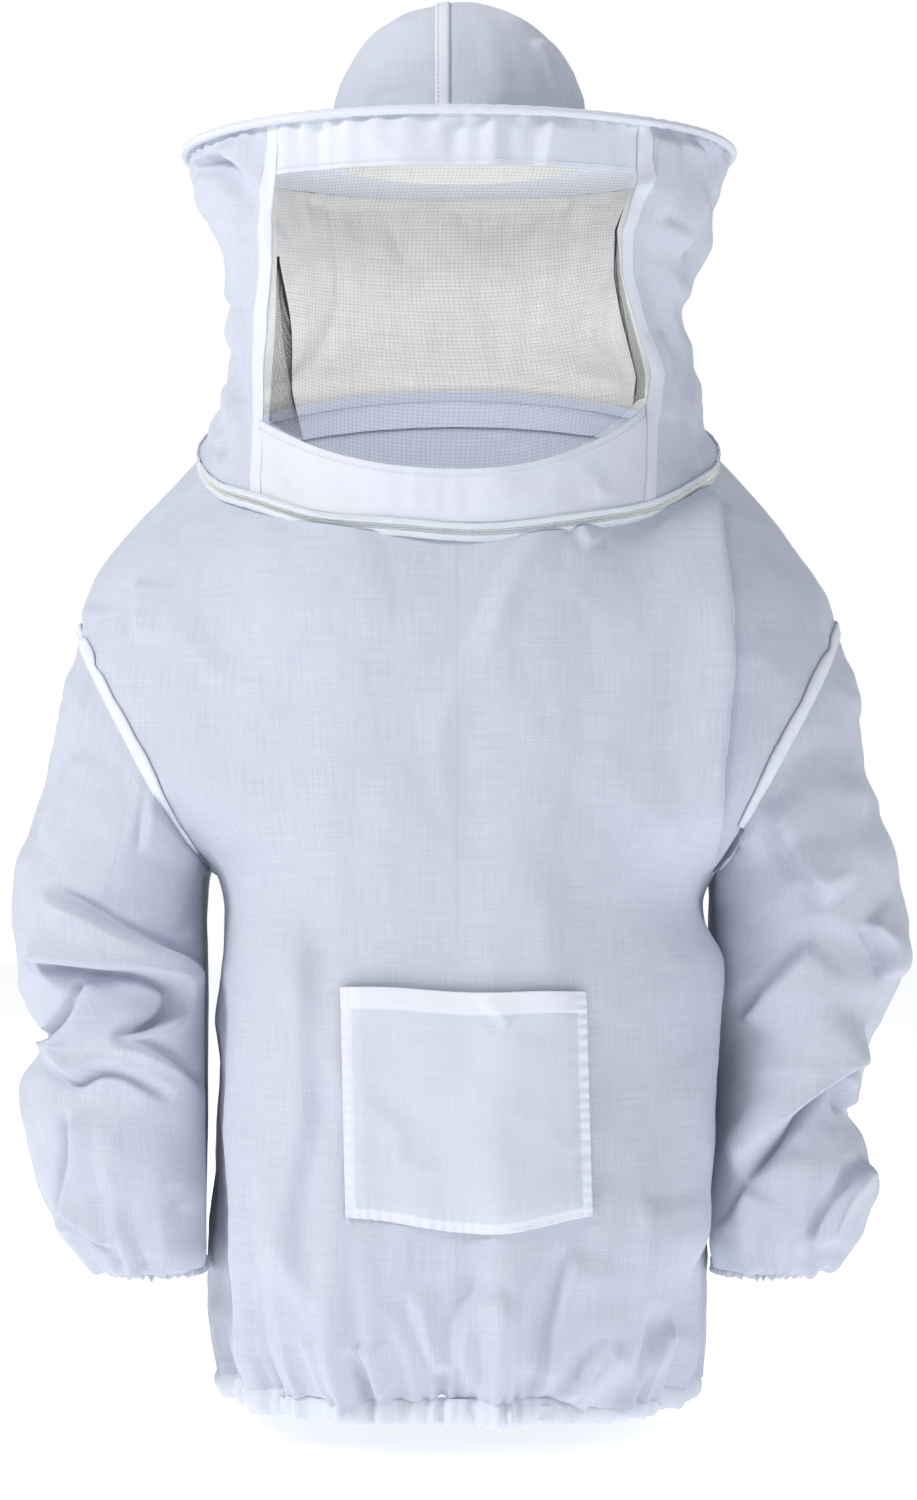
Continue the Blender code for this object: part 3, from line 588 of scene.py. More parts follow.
def armholeLoop(tree, side):
    # points round the armhole's edge, found by shooting from its middle
    middle = np.array(armhole["middle"]) * np.array([side, 1, 1])
    along = np.array([math.cos(seamAngle) * side, 0, math.sin(seamAngle)])
    points = []
    for turn in fullTurn(armhole["count"]):
        ray = Vector(along * math.sin(turn)) - Vector((0, math.cos(turn), 0))
        hit, _, _, far = tree.ray_cast(Vector(middle), ray)
        usual = 1 / math.hypot(math.sin(turn) / armhole["half"][0], math.cos(turn) / armhole["half"][1])
        if hit is None or far > usual * armhole["slack"]:
            hit = tree.find_nearest(Vector(middle) + ray * usual)[0]
        points.append(list(hit))
    return np.array(points)


torsoWhole = makeTorso()
torsoTree = surfaceTree(torsoWhole)
armLoops = {side: armholeLoop(torsoTree, side) for side in (1, -1)}
cutByPlanes(torsoWhole, [armholeRegion(1), armholeRegion(-1)])
frontPanel, backPanel = torsoWhole, copyPiece(torsoWhole, "smock back")
frontPanel.name = "smock front"
cutByPlanes(frontPanel, [[(Vector((0, 0, 0)), Vector((0, 1, 0)))]])
cutByPlanes(backPanel, [[(Vector((0, 0, 0)), Vector((0, -1, 0)))]])
for panel, node in ((frontPanel, "front_panel"), (backPanel, "back_panel")):
    finishPiece(panel, cotton, "smock", [node])
print("smock panels made")


# seam strips round the armholes
seamStrip = {"width": 0.0120, "lift": 0.0019, "thickness": 0.0009, "rows": 7, "laid": 0.8,
             "stitchLine": 0.0105, "inside": (0.2, 0, -0.26)}


def makeSeamStrip(side, word):
    loop, turn = armLoops[side], fullTurn(len(armLoops[side]))
    out = armholeNormal * np.array([side, 1, 1])
    rows = []
    for share in np.linspace(0, 1, seamStrip["rows"]):
        edge = loop - out * (seamStrip["width"] * (1 - share) - 0.002)
        crown = seamStrip["lift"] * (1 - (2 * share - 1) ** 4) + 0.0003
        crown = crown + 0.0004 * gathers(turn, 60, 9)[:, None] * (share * (1 - share) * 4)
        row = layOn(torsoTree, edge, 0) if share < seamStrip["laid"] else edge
        away = row - np.array(seamStrip["inside"]) * np.array([side, 1, 1])
        away /= np.linalg.norm(away, axis=1, keepdims=True)
        rows.append(row + away * (crown + 0.0006))
    grid = np.array(rows)
    shape = grid.shape[:2]
    weave = weaveOf(np.arange(len(loop)) * 0.004, np.arange(len(rows))[:, None] * 0.0015, shape)
    strip = sheetFromGrid(word + " armhole strip", grid, True, weave, np.ones(shape), flip=side < 0)
    giveThickness(strip, seamStrip["thickness"])
    finishPiece(strip, cotton, "smock", [word + "_armhole_seam"])


for side, word in ((1, "left"), (-1, "right")):
    makeSeamStrip(side, word)
    inner = armLoops[side] - armholeNormal * np.array([side, 1, 1]) * seamStrip["stitchLine"]
    inner = layOn(torsoTree, inner, 0.0009)
    stitches(word + " armhole stitches", [np.vstack([inner, inner[:1]])], "smock")
print("armhole seams made")


# hem casing
# the casing's cross-section from the smock round the elastic: outwards and up
hemProfile = [(-0.0012, 0.0030), (0.0008, 0.0022), (0.0022, 0.0000), (0.0040, -0.0040), (0.0044, -0.0085),
              (0.0036, -0.0130), (0.0015, -0.0165), (-0.0015, -0.0175), (-0.0045, -0.0150),
              (-0.0058, -0.0080), (-0.0050, -0.0010)]


def makeHem():
    angle = fullTurn(720)
    base = tableSurface(smockRings, angle, np.array([1.0]))[0]
    wave = hemGathers(angle, 0) * 0.9 + 0.0002
    out = base * np.array([1, 1, 0])
    out /= np.linalg.norm(out, axis=1, keepdims=True)
    tight = 1 - 0.5 * np.abs(np.linspace(0, 1, len(hemProfile)) - 0.4)
    drop = 0.0012 * gathers(angle, 26, 12) + 0.0010 * gathers(angle, 85, 13)
    rows = []
    for share, (outwards, up) in zip(tight, hemProfile):
        height = up + drop * (up < -0.01)
        rows.append(base + out * (wave * share + outwards)[:, None] + np.array([0, 0, 1]) * height[:, None])
    grid = np.array(rows)
    shape = grid.shape[:2]
    weave = weaveOf(angle * torso["girth"], grid[..., 2], shape)
    made = sheetFromGrid("gathered hem", grid, True, weave, np.ones(shape) * 0.7)
    return finishPiece(made, cotton, "smock", ["hem_casing"])


hem = makeHem()
print("hem made")


# patch pocket
pocket = {"left": -0.0855, "right": 0.0925, "top": -0.3985, "bottom": -0.565, "belly": 0.011, "skew": 0.004,
          "hem": 0.0155, "seam": 0.007, "stand": 0.0055, "gap": 0.0012, "closest": 0.0010,
          "across": 150, "along": 150, "flat": (0.180, 0.180)}
pocketFolds = [
    ([(-76, -477), (-47, -500), (-41, -524), (-4, -536)], -2.2, 20, 9, 0.5),
    ([(84, -500), (58, -539), (20, -571)], -2.4, 20, 9, 0.5),
    ([(16, -406), (37, -424)], 2.5, 8, 4, 1),
    ([(-30, -430), (-20, -490)], 1.6, 30, 16, 0),
    ([(50, -430), (40, -500)], 1.6, 30, 16, 0)]


def pocketDepths(x, z):
    # the front panel behind the pocket, and the same smoothed
    raw = np.array([[frontOf(torsoTree, a, b) for a, b in zip(rowX, rowZ)] for rowX, rowZ in zip(x, z)])
    smooth = raw.copy()
    for _ in range(60):
        padded = np.pad(smooth, 1, mode="edge")
        smooth = (padded[:-2, 1:-1] + padded[2:, 1:-1] + padded[1:-1, :-2] + padded[1:-1, 2:]) / 4
    return raw, smooth


def pocketPucker(place, fromEdge):
    # small puckers along a seam
    return np.sin(2 * math.pi * place / 0.0085 + 2 * np.sin(place * 90)) * np.exp(-fromEdge / 0.006)


def makePocket():
    columns, rows = pocket["across"], pocket["along"]
    wide, tall = pocket["right"] - pocket["left"], pocket["top"] - pocket["bottom"]
    u, v = np.meshgrid(np.linspace(0, 1, columns), np.linspace(0, 1, rows))
    left, right = pocket["left"] + pocket["skew"] * v, pocket["right"] + pocket["skew"] * v * 1.2
    x = left + (right - left) * u
    top = pocket["top"] - 0.004 * u + 0.0012 * np.sin(9 * u)
    bottom = pocket["bottom"] - pocket["belly"] * np.sin(math.pi * u ** 1.2) ** 1.5
    z = top + (bottom - top) * v
    raw, smooth = pocketDepths(x, z)
    sideways, upwards, down = np.minimum(u, 1 - u) * wide, (1 - v) * tall, v * tall
    stand = pocket["stand"] * np.minimum(1, np.minimum(sideways, upwards) / 0.014) * (0.45 + 0.55 * (1 - v))
    height = stand + foldHeights(np.c_[x.ravel(), z.ravel()], pocketFolds).reshape(x.shape)
    height += 0.0007 * (pocketPucker(z, sideways) + pocketPucker(x, upwards))
    inHem = smoothStep(pocket["hem"] - down, -0.0015, 0.0015)
    groove = np.exp(-((down - pocket["hem"]) / 0.0014) ** 2)
    groove = groove + 0.8 * np.exp(-((sideways - pocket["seam"]) / 0.0012) ** 2)
    height += 0.0007 * inHem - 0.0007 * groove
    height += cloudNoise(np.stack([x, z * 0 + 5, z], -1), 30, 6) * 0.0012
    y = np.minimum(smooth - pocket["gap"] - height, raw - pocket["closest"])
    grid = np.stack([x, y, z], -1)
    doubled = np.clip(inHem + smoothStep(0.0085 - np.minimum(sideways, upwards), 0, 0.002), 0, 1)
    weave = np.stack([x + 0.0003, z], -1)
    piece = sheetFromGrid("pocket", grid, False, weave, 0.35 + 0.65 * doubled)
    giveThickness(piece, 0.0009)
    finishPiece(piece, cotton, "smock", ["pocket_panel", "pocket_hem"])
    grid = grid + np.array([0, -0.0004, 0])
    hemRow = int(round(pocket["hem"] / tall * rows))
    edge = int(round(pocket["seam"] / wide * columns))
    low = rows - 1 - int(round(pocket["seam"] / tall * rows))
    lines = [grid[hemRow, 1:-1], grid[1:low, edge], grid[1:low, columns - 1 - edge],
             grid[low, edge:columns - edge]]
    stitches("pocket stitches", lines, "smock")
    return piece


pocketPiece = makePocket()
print("pocket made")


# sleeves and cuffs
# rows from armhole to cuff in millimetres: outer x and z, inner x and z, middle y, half depth
leftRows = [
    (292.5, -142.5, 193.5, -321.5, 0, 111), (302, -172, 191.5, -327, 0, 109),
    (308.5, -205, 190, -333, -1, 107), (317, -243, 189.5, -341, -3, 104),
    (325.8, -280.5, 190, -352, -5, 101), (335, -325, 191.5, -368, -7, 97),
    (341, -357, 193.5, -385, -9, 93), (341, -387, 198, -405, -12, 90),
    (329.6, -425.6, 207, -430, -15, 87), (306.7, -460, 211, -462, -18, 84),
    (299, -502, 210.5, -502, -22, 84), (310.5, -525, 199, -529, -24, 84),
    (310.5, -571, 188, -575, -29, 78), (300, -600, 183, -603, -32, 70),
    (285, -618.5, 190, -619, -34, 58), (269, -615, 194, -615, -34, 44),
    (266, -611, 196, -611, -34, 40)]
rightRows = [
    (292.5, -142.5, 193.5, -321.5, 0, 111), (300, -172, 191.5, -327, 0, 109),
    (308, -207, 190, -333, -1, 107), (319.7, -257.6, 189.5, -345, -3, 103),
    (336.5, -311, 190, -362, -7, 98), (342.6, -349, 190, -380, -9, 94),
    (341, -387, 190, -404, -12, 90), (327.4, -425.6, 191, -430, -15, 87),
    (317, -448.5, 192, -450, -17, 86), (331, -471.5, 190, -475, -19, 86),
    (327, -517, 188, -520, -24, 84), (320, -552, 186, -556, -28, 80),
    (313, -586, 185, -590, -31, 72), (300, -606, 187, -610, -33, 64),
    (281.5, -619, 190, -619, -34, 54), (269, -615, 194, -615, -34, 44),
    (266, -611, 196, -611, -34, 40)]
rightFolds = [
    ([(-216, -223), (-228, -267), (-236, -307)], 3, 12, 4, 1),
    ([(-281, -223), (-303, -264), (-319, -301)], 3, 14, 5, 1),
    ([(-187, -332), (-212, -369)], 3, 12, 4, 1),
    ([(-318, -332), (-283, -346), (-248, -367), (-207, -389), (-183, -409), (-170, -443)], -7, 22, 6, 2),
    ([(-332, -374), (-321, -382), (-300, -384), (-269, -387), (-233, -392), (-212, -407), (-214, -426),
      (-241, -442), (-260, -442)], 10, 20, 5, 4),
    ([(-260, -434), (-258, -442), (-233, -453), (-207, -472), (-183, -497), (-171, -517)], -6, 14, 5, 2),
    ([(-321, -455), (-300, -442), (-285, -424), (-272, -392)], -5, 14, 5, 2),
    ([(-310, -455), (-287, -470), (-269, -462), (-251, -462), (-228, -474), (-212, -488)], 5, 14, 5, 2),
    ([(-285, -493), (-285, -517), (-294, -568), (-298, -595)], 5, 16, 6, 2),
    ([(-292, -568), (-271, -589), (-258, -597)], 4, 12, 4, 1),
    ([(-175, -539), (-199, -555), (-207, -572)], 4, 14, 5, 1)]
leftFolds = [
    ([(189, -246), (216, -241), (239, -237)], 5, 12, 4, 2),
    ([(303, -354), (321, -377), (321, -400)], 5, 14, 5, 2),
    ([(309, -432), (283, -462), (245, -500), (225, -523), (205, -550)], -11, 22, 5, 5),
    ([(285, -463), (290, -480), (292, -500)], 5, 12, 5, 2),
    ([(303, -533), (285, -559), (263, -595)], 6, 16, 6, 2),
    ([(218, -551), (210, -566), (197, -587)], 5, 12, 4, 2),
    ([(225, -264), (254, -309), (277, -342)], 4, 20, 8, 1),
    ([(269, -369), (239, -402), (213, -436)], 5, 20, 8, 1)]
sleeve = {"around": 230, "along": 300, "flat": (0.60, 0.50), "area": 0.225,
          "blend": 0.12, "crisp": 0.6, "inward": 0.014, "foldScale": 2.3, "rearScale": 0.9, "girth": 0.09}
# the smock's side as a plain rounded wall: half width, half depth, squareness, gap to it, and its top
torsoWall = {"width": 0.1925, "depth": 0.184, "power": 2.6, "gap": 0.0035, "top": -0.322}


def besideTorso(grid, side):
    # flatten the sleeve's inner side against the plain shape of the torso
    depth = np.clip(np.abs(grid[..., 1]) / torsoWall["depth"], 0, 1)
    power = torsoWall["power"]
    wall = torsoWall["width"] * (1 - depth ** power) ** (1 / power) + torsoWall["gap"]
    grid[..., 0] = side * np.maximum(side * grid[..., 0], wall * (grid[..., 2] < torsoWall["top"]))


def smoothGrid(grid, passes, aroundWeight, amount):
    # ease each point towards its neighbours, down and around
    for _ in range(passes):
        around = np.roll(grid, 1, 1)[1:-1] * aroundWeight + np.roll(grid, -1, 1)[1:-1] * aroundWeight
        eased = (grid[:-2] + grid[2:] + around) / (2 + 2 * aroundWeight)
        grid[1:-1] += (eased - grid[1:-1]) * amount


def makeSleeve(side, word, rows, folds, rearFolds):
    rows = np.array(rows, float) / 1000
    rows[4:-3, 2] -= sleeve["inward"] * np.minimum(1, np.arange(len(rows) - 7) / 3)
    middle = (rows[:, 0:2] + rows[:, 2:4]) / 2
    stations = np.r_[0, np.cumsum(np.hypot(*np.diff(middle, axis=0).T) + 0.004)]
    shares = np.linspace(0, 1, sleeve["along"])
    table = cubicRows(stations, rows, shares * stations[-1])
    angle = fullTurn(sleeve["around"])
    s, c = np.sin(angle)[None, :], np.cos(angle)[None, :]
    center = (table[:, 0:2] + table[:, 2:4]) / 2
    half = (table[:, 0:2] - table[:, 2:4]) / 2
    grid = np.stack([side * (center[:, :1] + half[:, :1] * s), table[:, 4:5] - table[:, 5:6] * c,
                     center[:, 1:2] + half[:, 1:2] * s], -1)
    # meet the armhole exactly at the top
    fade = (1 - smoothStep(shares, 0.0, 0.16))[:, None, None]
    grid = grid + (resampleLoop(armLoops[side], angle) - grid[0])[None] * fade
    normal = gridNormals(grid, True)
    out = grid - np.stack([side * center[:, 0], table[:, 4], center[:, 1]], -1)[:, None, :]
    normal *= np.sign((normal * out).sum(-1, keepdims=True) + 1e-9)
    flat = grid[..., [0, 2]].reshape(-1, 2)
    shape = grid.shape[:2]
    frontness = smoothStep(-normal[..., 1], -0.35, 0.15)
    height = foldHeights(flat, folds, sleeve["crisp"]).reshape(shape) * frontness
    rear = foldHeights(flat * np.array([-1, 1]), rearFolds, sleeve["crisp"]).reshape(shape)
    height += rear * (1 - frontness) * sleeve["rearScale"]
    calm = smoothStep(shares, 0.0, 0.05)[:, None] * (1 - smoothStep(shares, 0.93, 1.0)[:, None] * 0.8)
    layers = [(cloudNoise, 11, 20 + side, (1, 1, 1.5), 0.006),
              (creases, 9, 40 + side, (1, 1, 1.4), 0.0035),
              (cloudNoise, 26, 24 + side, (1, 1, 1.3), 0.0028),
              (cloudNoise, 70, 28 + side, (1, 1, 1), 0.0007)]
    height = crumpled(height * sleeve["foldScale"] * calm, grid, layers, calm)
    toCuff = (1 - shares)[:, None] * stations[-1]
    height += gathers(angle, 26, 31 + side)[None, :] * 0.0032 * np.exp(-toCuff / 0.022)
    height += gathers(angle, 9, 35 + side)[None, :] * 0.007 * np.exp(-toCuff / 0.07) * calm
    against = (1 - smoothStep(side * grid[..., 0], 0.185, 0.222)) * smoothStep(-grid[..., 2], 0.30, 0.34)
    grid = grid + normal * (height * (1 - 0.9 * against))[..., None]
    besideTorso(grid, side)
    smoothGrid(grid, 3, 1, 0.4)
    smoothGrid(grid, 12, 2, against[1:-1, :, None])
    weave = weaveOf(angle * sleeve["girth"], -shares[:, None] * 0.52, shape)
    piece = sheetFromGrid(word + " sleeve cloth", grid, True, weave, flip=side < 0)
    start = Vector(armhole["middle"]) * Vector((side, 1, 1))
    end = start + Vector((armholeNormal[0] * side, 0, armholeNormal[2])) * sleeve["blend"]
    finishPiece(piece, cotton, ("smock", word + "_sleeve", start, end), [word + "_sleeve"])
    return piece, grid[-1]


# the cuff's cross-section, turned over the elastic and ending in a short ruffle: outwards, up, share of wave
cuffProfile = [(0.0004, 0.0005, 0), (0.0020, -0.0015, 0.3), (0.0036, -0.0045, 0.7), (0.0030, -0.0075, 0.9),
               (0.0034, -0.0100, 1.2), (0.0042, -0.0125, 1.6), (0.0034, -0.0138, 1.6),
               (0.0016, -0.0128, 1.4), (-0.0010, -0.0090, 1.0), (-0.0024, -0.0040, 0.8),
               (-0.0022, 0.0010, 0.5)]


def makeCuff(side, word, sleeveEdge):
    angle = fullTurn(360)
    base = resampleLoop(sleeveEdge, angle)
    out = (base - base.mean(0)) * np.array([1, 1, 0])
    out /= np.linalg.norm(out, axis=1, keepdims=True)
    wave = gathers(angle, 40, 41 + side)
    grid = np.array([base + out * (outwards + 0.0012 * share * wave)[:, None]
                     + np.array([0, 0, 1]) * (up + 0.0007 * share * wave)[:, None]
                     for outwards, up, share in cuffProfile])
    shape = grid.shape[:2]
    weave = weaveOf(angle * sleeve["girth"], grid[..., 2], shape)
    piece = sheetFromGrid(word + " cuff", grid, True, weave, np.ones(shape) * 0.7, flip=side < 0)
    return finishPiece(piece, cotton, word + "_sleeve", [word + "_cuff_casing"])


# each sleeve's back has the other sleeve's folds
for side, word, rows, folds, rearFolds in ((1, "left", leftRows, leftFolds, rightFolds),
                                           (-1, "right", rightRows, rightFolds, leftFolds)):
    sleevePiece, sleeveEdge = makeSleeve(side, word, rows, folds, rearFolds)
    cuffPiece = makeCuff(side, word, sleeveEdge)
print("sleeves made")


# veil of the hat
# rings from zip to brim, in the smock's order of values
veilRings = np.array([
    (-0.0019, 0.0052, 20, 0.1998, 0.1998, 0.200, 2.0), (0, 0.0250, 18, 0.1850, 0.199, 0.198, 2.0),
    (0, 0.0500, 15, 0.1730, 0.199, 0.195, 2.0), (0, 0.0900, 11, 0.1650, 0.200, 0.190, 2.0),
    (0, 0.1300, 8, 0.1670, 0.203, 0.190, 2.0), (0, 0.1700, 4, 0.1800, 0.206, 0.196, 2.0),
    (0, 0.1970, 2, 0.1940, 0.208, 0.203, 2.0), (0, 0.2298, 0, 0.2072, 0.208, 0.208, 2.0)])
veil = {"collar": 0.034, "riseLeft": 0.030, "riseRight": 0.014, "windowTop": 0.1985,
        "rear": math.radians(118), "thickness": 0.0008, "band": 0.0085, "foldScale": 1.5,
        "brim": 0.229, "aboveZip": 0.008}
veilCrumples = [(cloudNoise, 16, 64, (1, 1, 0.7), 0.0055), (creases, 14, 66, (1, 1, 0.6), 0.0040),
                (cloudNoise, 38, 65, (1, 1, 1), 0.0020)]
# the window's left and right edges: height, x
windowEdges = {-1: ([-0.05, 0.0, 0.10, 0.1985, 0.23], [-0.147, -0.146, -0.139, -0.132, -0.131]),
               1: ([-0.05, 0.0, 0.075, 0.105, 0.14, 0.165, 0.1985, 0.23],
                   [0.134, 0.136, 0.141, 0.132, 0.120, 0.118, 0.130, 0.131])}
veilFolds = [
    ([(-201, 223), (-166, 214), (-142, 186), (-137, 148)], 7, 16, 5, 2),
    ([(-198, 212), (-174, 198), (-152, 175), (-142, 145)], -6, 14, 5, 3),
    ([(-166, 113), (-155, 80), (-154, 55), (-166, 31), (-169, -12)], 5, 12, 4, 3),
    ([(-185, 194), (-166, 157), (-152, 108), (-149, 78)], 5, 14, 5, 2),
    ([(-176, 145), (-159, 108), (-163, 63), (-181, 19)], 4, 14, 5, 2),
    ([(-146, 205), (-139, 171), (-140, 131)], -4, 10, 4, 2),
    ([(-193, 4), (-166, 19), (-149, 34)], 3, 12, 4, 1),
    ([(174, 236), (169, 200), (152, 142)], -8, 20, 5, 4),
    ([(135, 239), (143, 220), (141, 198), (129, 179)], 7, 14, 5, 3),
    ([(156, 227), (153, 198), (139, 164)], -5, 14, 5, 3),
    ([(152, 142), (156, 108), (169, 75), (180, 11)], 5, 18, 6, 2),
    ([(135, 86), (146, 52), (150, 15)], 4, 14, 5, 2),
    ([(185, 205), (176, 164), (159, 108)], -4, 14, 5, 2)]
veilSteps = np.hypot(np.diff(veilRings[:, 1]), np.diff(veilRings[:, 3]))
veilStations = np.r_[0, np.cumsum(veilSteps)] / veilSteps.sum()
ringBack = np.array([0, math.cos(zipRing["tilt"]), math.sin(zipRing["tilt"])])


def veilPoint(angle, share):
    rows = cubicRows(veilStations, veilRings, share.ravel())
    s, c = np.sin(angle).ravel(), np.cos(angle).ravel()
    depth = np.where(c > 0, rows[:, 4], rows[:, 5])
    r = 1 / np.hypot(s / rows[:, 3], c / depth)
    tilt = np.radians(rows[:, 2])
    points = np.c_[r * s, rows[:, 0] - r * c * np.cos(tilt), rows[:, 1] - r * c * np.sin(tilt)]
    return points.reshape(angle.shape + (3,))


def shareAt(height):
    return np.interp(height, veilRings[:, 1], veilStations)


def edgeAngle(side, share, extra=0.0):
    # the angle of the window's edge at each share of the height
    height = np.interp(share, veilStations, veilRings[:, 1])
    heights, places = windowEdges[side]
    x = np.interp(height, heights, places) + side * extra
    angle = np.arcsin(np.clip(x / 0.19, -0.98, 0.98))
    for _ in range(4):
        reach = np.maximum(veilPoint(angle, share)[..., 0] / np.sin(angle), 0.15)
        angle = np.arcsin(np.clip(x / reach, -0.98, 0.98))
    return angle


def collarShare(angle):
    # the collar's upper edge, higher towards the sides
    rise = np.where(angle > 0, veil["riseLeft"], veil["riseRight"])
    return shareAt(veil["collar"] + rise * np.clip(np.abs(np.sin(angle)) / 0.74, 0, 1) ** 2.2)


def bulge(height, middle, spread):
    return np.exp(-((height - middle) / spread) ** 2)


def shapeVeil(grid, amount=1.0, gathered=1.0, lift=0.0):
    # folds, gathers from the brim and crumples
    normal = gridNormals(grid, False)
    out = grid * np.array([1, 1, 0])
    normal *= np.sign((normal * out).sum(-1, keepdims=True) + 1e-9)
    folds = foldHeights(grid[..., [0, 2]].reshape(-1, 2), veilFolds).reshape(grid.shape[:2])
    height = veil["foldScale"] * folds * smoothStep(-normal[..., 1], -0.45, -0.05)
    turn = np.arctan2(grid[..., 0], -grid[..., 1])
    under = np.maximum(veil["brim"] - grid[..., 2], 0)
    edgeUp = np.maximum(grid @ ringUp - veil["aboveZip"], 0)
    height += gathered * gathers(turn, 64, 61) * 0.0016 * np.exp(-under / 0.030)
    height += gathered * gathers(turn, 19, 62) * 0.0034 * np.exp(-under / 0.075)
    height += gathers(turn, 70, 63) * 0.0009 * np.exp(-edgeUp / 0.016)
    height = crumpled(height, grid, veilCrumples)
    leftPuff = 0.010 * bulge(grid[..., 2], 0.165, 0.03) + 0.007 * bulge(grid[..., 2], 0.06, 0.03)
    rightPuff = 0.009 * bulge(grid[..., 2], 0.10, 0.07)
    height += np.abs(np.sin(turn)) ** 3 * np.where(grid[..., 0] > 0, leftPuff, rightPuff)
    calm = smoothStep(under, 0.0, 0.010) * smoothStep(edgeUp, 0.0, 0.012)
    fine = gathered * gathers(turn, 64, 61) * 0.0012 * (1 - smoothStep(under, 0.0, 0.010))
    return grid + normal * (amount * height * calm + fine + lift)[..., None]


def veilSheet(name, angle, share, doubled, amount=1.0, gathered=1.0, lift=0.0):
    grid = shapeVeil(veilPoint(angle, share), amount, gathered, lift)
    weave = np.stack([angle * torso["girth"], grid[..., 2]], -1)
    across, down = grid[0, 1] - grid[0, 0], grid[1, 0] - grid[0, 0]
    faceOut = np.cross(across, down) @ (grid[0, 0] * np.array([1, 1, 0])) > 0
    piece = sheetFromGrid(name, grid, False, weave, np.ones(angle.shape) * doubled, flip=not faceOut)
    giveThickness(piece, veil["thickness"])
    return piece, grid


def span(low, high, count):
    return np.asarray(low) + (np.asarray(high) - np.asarray(low)) * np.linspace(0, 1, count)[:, None]


# where the cloth passes from the smock to the hat: upwards at the back, and also forwards at the sides
hoodBlend = {"rise": 0.1, "forward": 0.094}
blendStart = Vector(ringBack * hoodBlend["forward"])
blendSlope = ringUp / hoodBlend["rise"] - ringBack / hoodBlend["forward"]
sideBlend = ("smock", "hood", blendStart, blendStart + Vector(blendSlope / (blendSlope @ blendSlope)))
backBlend = ("smock", "hood", Vector((0, 0, 0)), Vector(ringUp * hoodBlend["rise"]))

# collar under the window
across = np.linspace(-1, 1, 260)
rightBottom, leftBottom = edgeAngle(-1, np.array([0.0]))[0], edgeAngle(1, np.array([0.0]))[0]
turn = rightBottom + (leftBottom - rightBottom) * (across + 1) / 2
share = span(np.zeros_like(turn), collarShare(turn), 36)
low, high = edgeAngle(-1, share), edgeAngle(1, share)
collar, collarGrid = veilSheet("front collar", low + (high - low) * (across * 1.03 + 1) / 2, share, 0.75, 0.6)
finishPiece(collar, cotton, "hood", ["front_collar_band"])
stitches("collar stitches", [collarGrid[31] * np.array([1.0025, 1.0035, 1])], "hood")

# band over the window, full of small tucks
turn = np.linspace(edgeAngle(-1, np.array([1.0]))[0], edgeAngle(1, np.array([1.0]))[0], 420)
share = span(np.full_like(turn, shareAt(veil["windowTop"])), np.ones_like(turn), 30)
low, high = edgeAngle(-1, share), edgeAngle(1, share)
angle = low + (high - low) * np.linspace(-0.015, 1.015, 420)
topBand, topGrid = veilSheet("band over window", angle, share, 0.75, 0.5, 2.2)
finishPiece(topBand, cotton, "hood", ["window_top_band"])
stitches("top band stitches", [topGrid[row] * np.array([1.002, 1.003, 1]) for row in (3, 26)], "hood")

# narrow bands at the window's sides, and the side panels behind them
for side, word in ((1, "left"), (-1, "right")):
    rows = np.linspace(0, 1, 170)
    inner, outer = edgeAngle(side, rows), edgeAngle(side, rows, veil["band"])
    angle = inner[:, None] + (outer - inner)[:, None] * np.linspace(0, 1, 9)
    share = np.broadcast_to(rows[:, None], angle.shape)
    band, _ = veilSheet(word + " window strip", angle, share, 0.85, 0.4, 1.0, 0.0009)
    finishPiece(band, cotton, "hood", ["window_%s_band" % word])
    rear = side * veil["rear"]
    angle = outer[:, None] + (rear - outer)[:, None] * np.linspace(0, 1, 170)
    share = np.broadcast_to(rows[:, None], angle.shape)
    calmEdge = 0.4 + 0.6 * smoothStep(np.linspace(0, 1, 170), 0, 0.16)
    panel, _ = veilSheet(word + " veil side", angle, share, 0.1, calmEdge)
    finishPiece(panel, cotton, sideBlend, ["veil_%s_panel" % word])

rearAngles = np.linspace(veil["rear"], 2 * math.pi - veil["rear"], 200)
share = np.broadcast_to(np.linspace(0, 1, 150)[:, None], (150, 200))
backGrid = shapeVeil(veilPoint(np.broadcast_to(rearAngles, share.shape), share))
# the back's seam allowance, sewn to the smock
backGrid = np.concatenate([backGrid[:1] - ringUp * 0.010, backGrid])
backWeave = weaveOf(rearAngles * torso["girth"], backGrid[..., 2], backGrid.shape[:2])
backVeil = sheetFromGrid("veil back", backGrid, False, backWeave)
giveThickness(backVeil, veil["thickness"])
# the veil back is coloured with the painted backlit cloth
finishPiece(backVeil, backlitCloth, backBlend, ["veil_back_panel"])
print("veil made")


# window netting
def netPatch(name, angleLow, angleHigh, shareLow, shareHigh, across, up, depth, radius):
    # netting between two edges of the window, bulging inwards by depth
    u, v = np.meshgrid(np.linspace(0, 1, across), np.linspace(0, 1, up))
    share = shareLow(u) + (shareHigh - shareLow(u)) * v
    angle = angleLow(share) + (angleHigh(share) - angleLow(share)) * u
    share = np.minimum(np.maximum(share, collarShare(angle) - 0.01), shareHigh)
    grid = veilPoint(angle, share)
    out = grid * np.array([1, 1, 0])
    out /= np.linalg.norm(out, axis=-1, keepdims=True)
    slack = 0.0025 + depth * np.sin(math.pi * u) * np.sin(math.pi * v) + 0.0020 * cloudNoise(grid, 20, 71)
    carrier = makeMesh(name + " grid", grid - out * slack[..., None], gridFaces(up, across, False))
    made = runTree(name, carrier, trees["net"], {"Radius": radius, "Material": netThread})
    return finishPiece(made, netThread, "hood")


def leftEdge(share):
    return edgeAngle(1, share)


def rightEdge(share):
    return edgeAngle(-1, share)


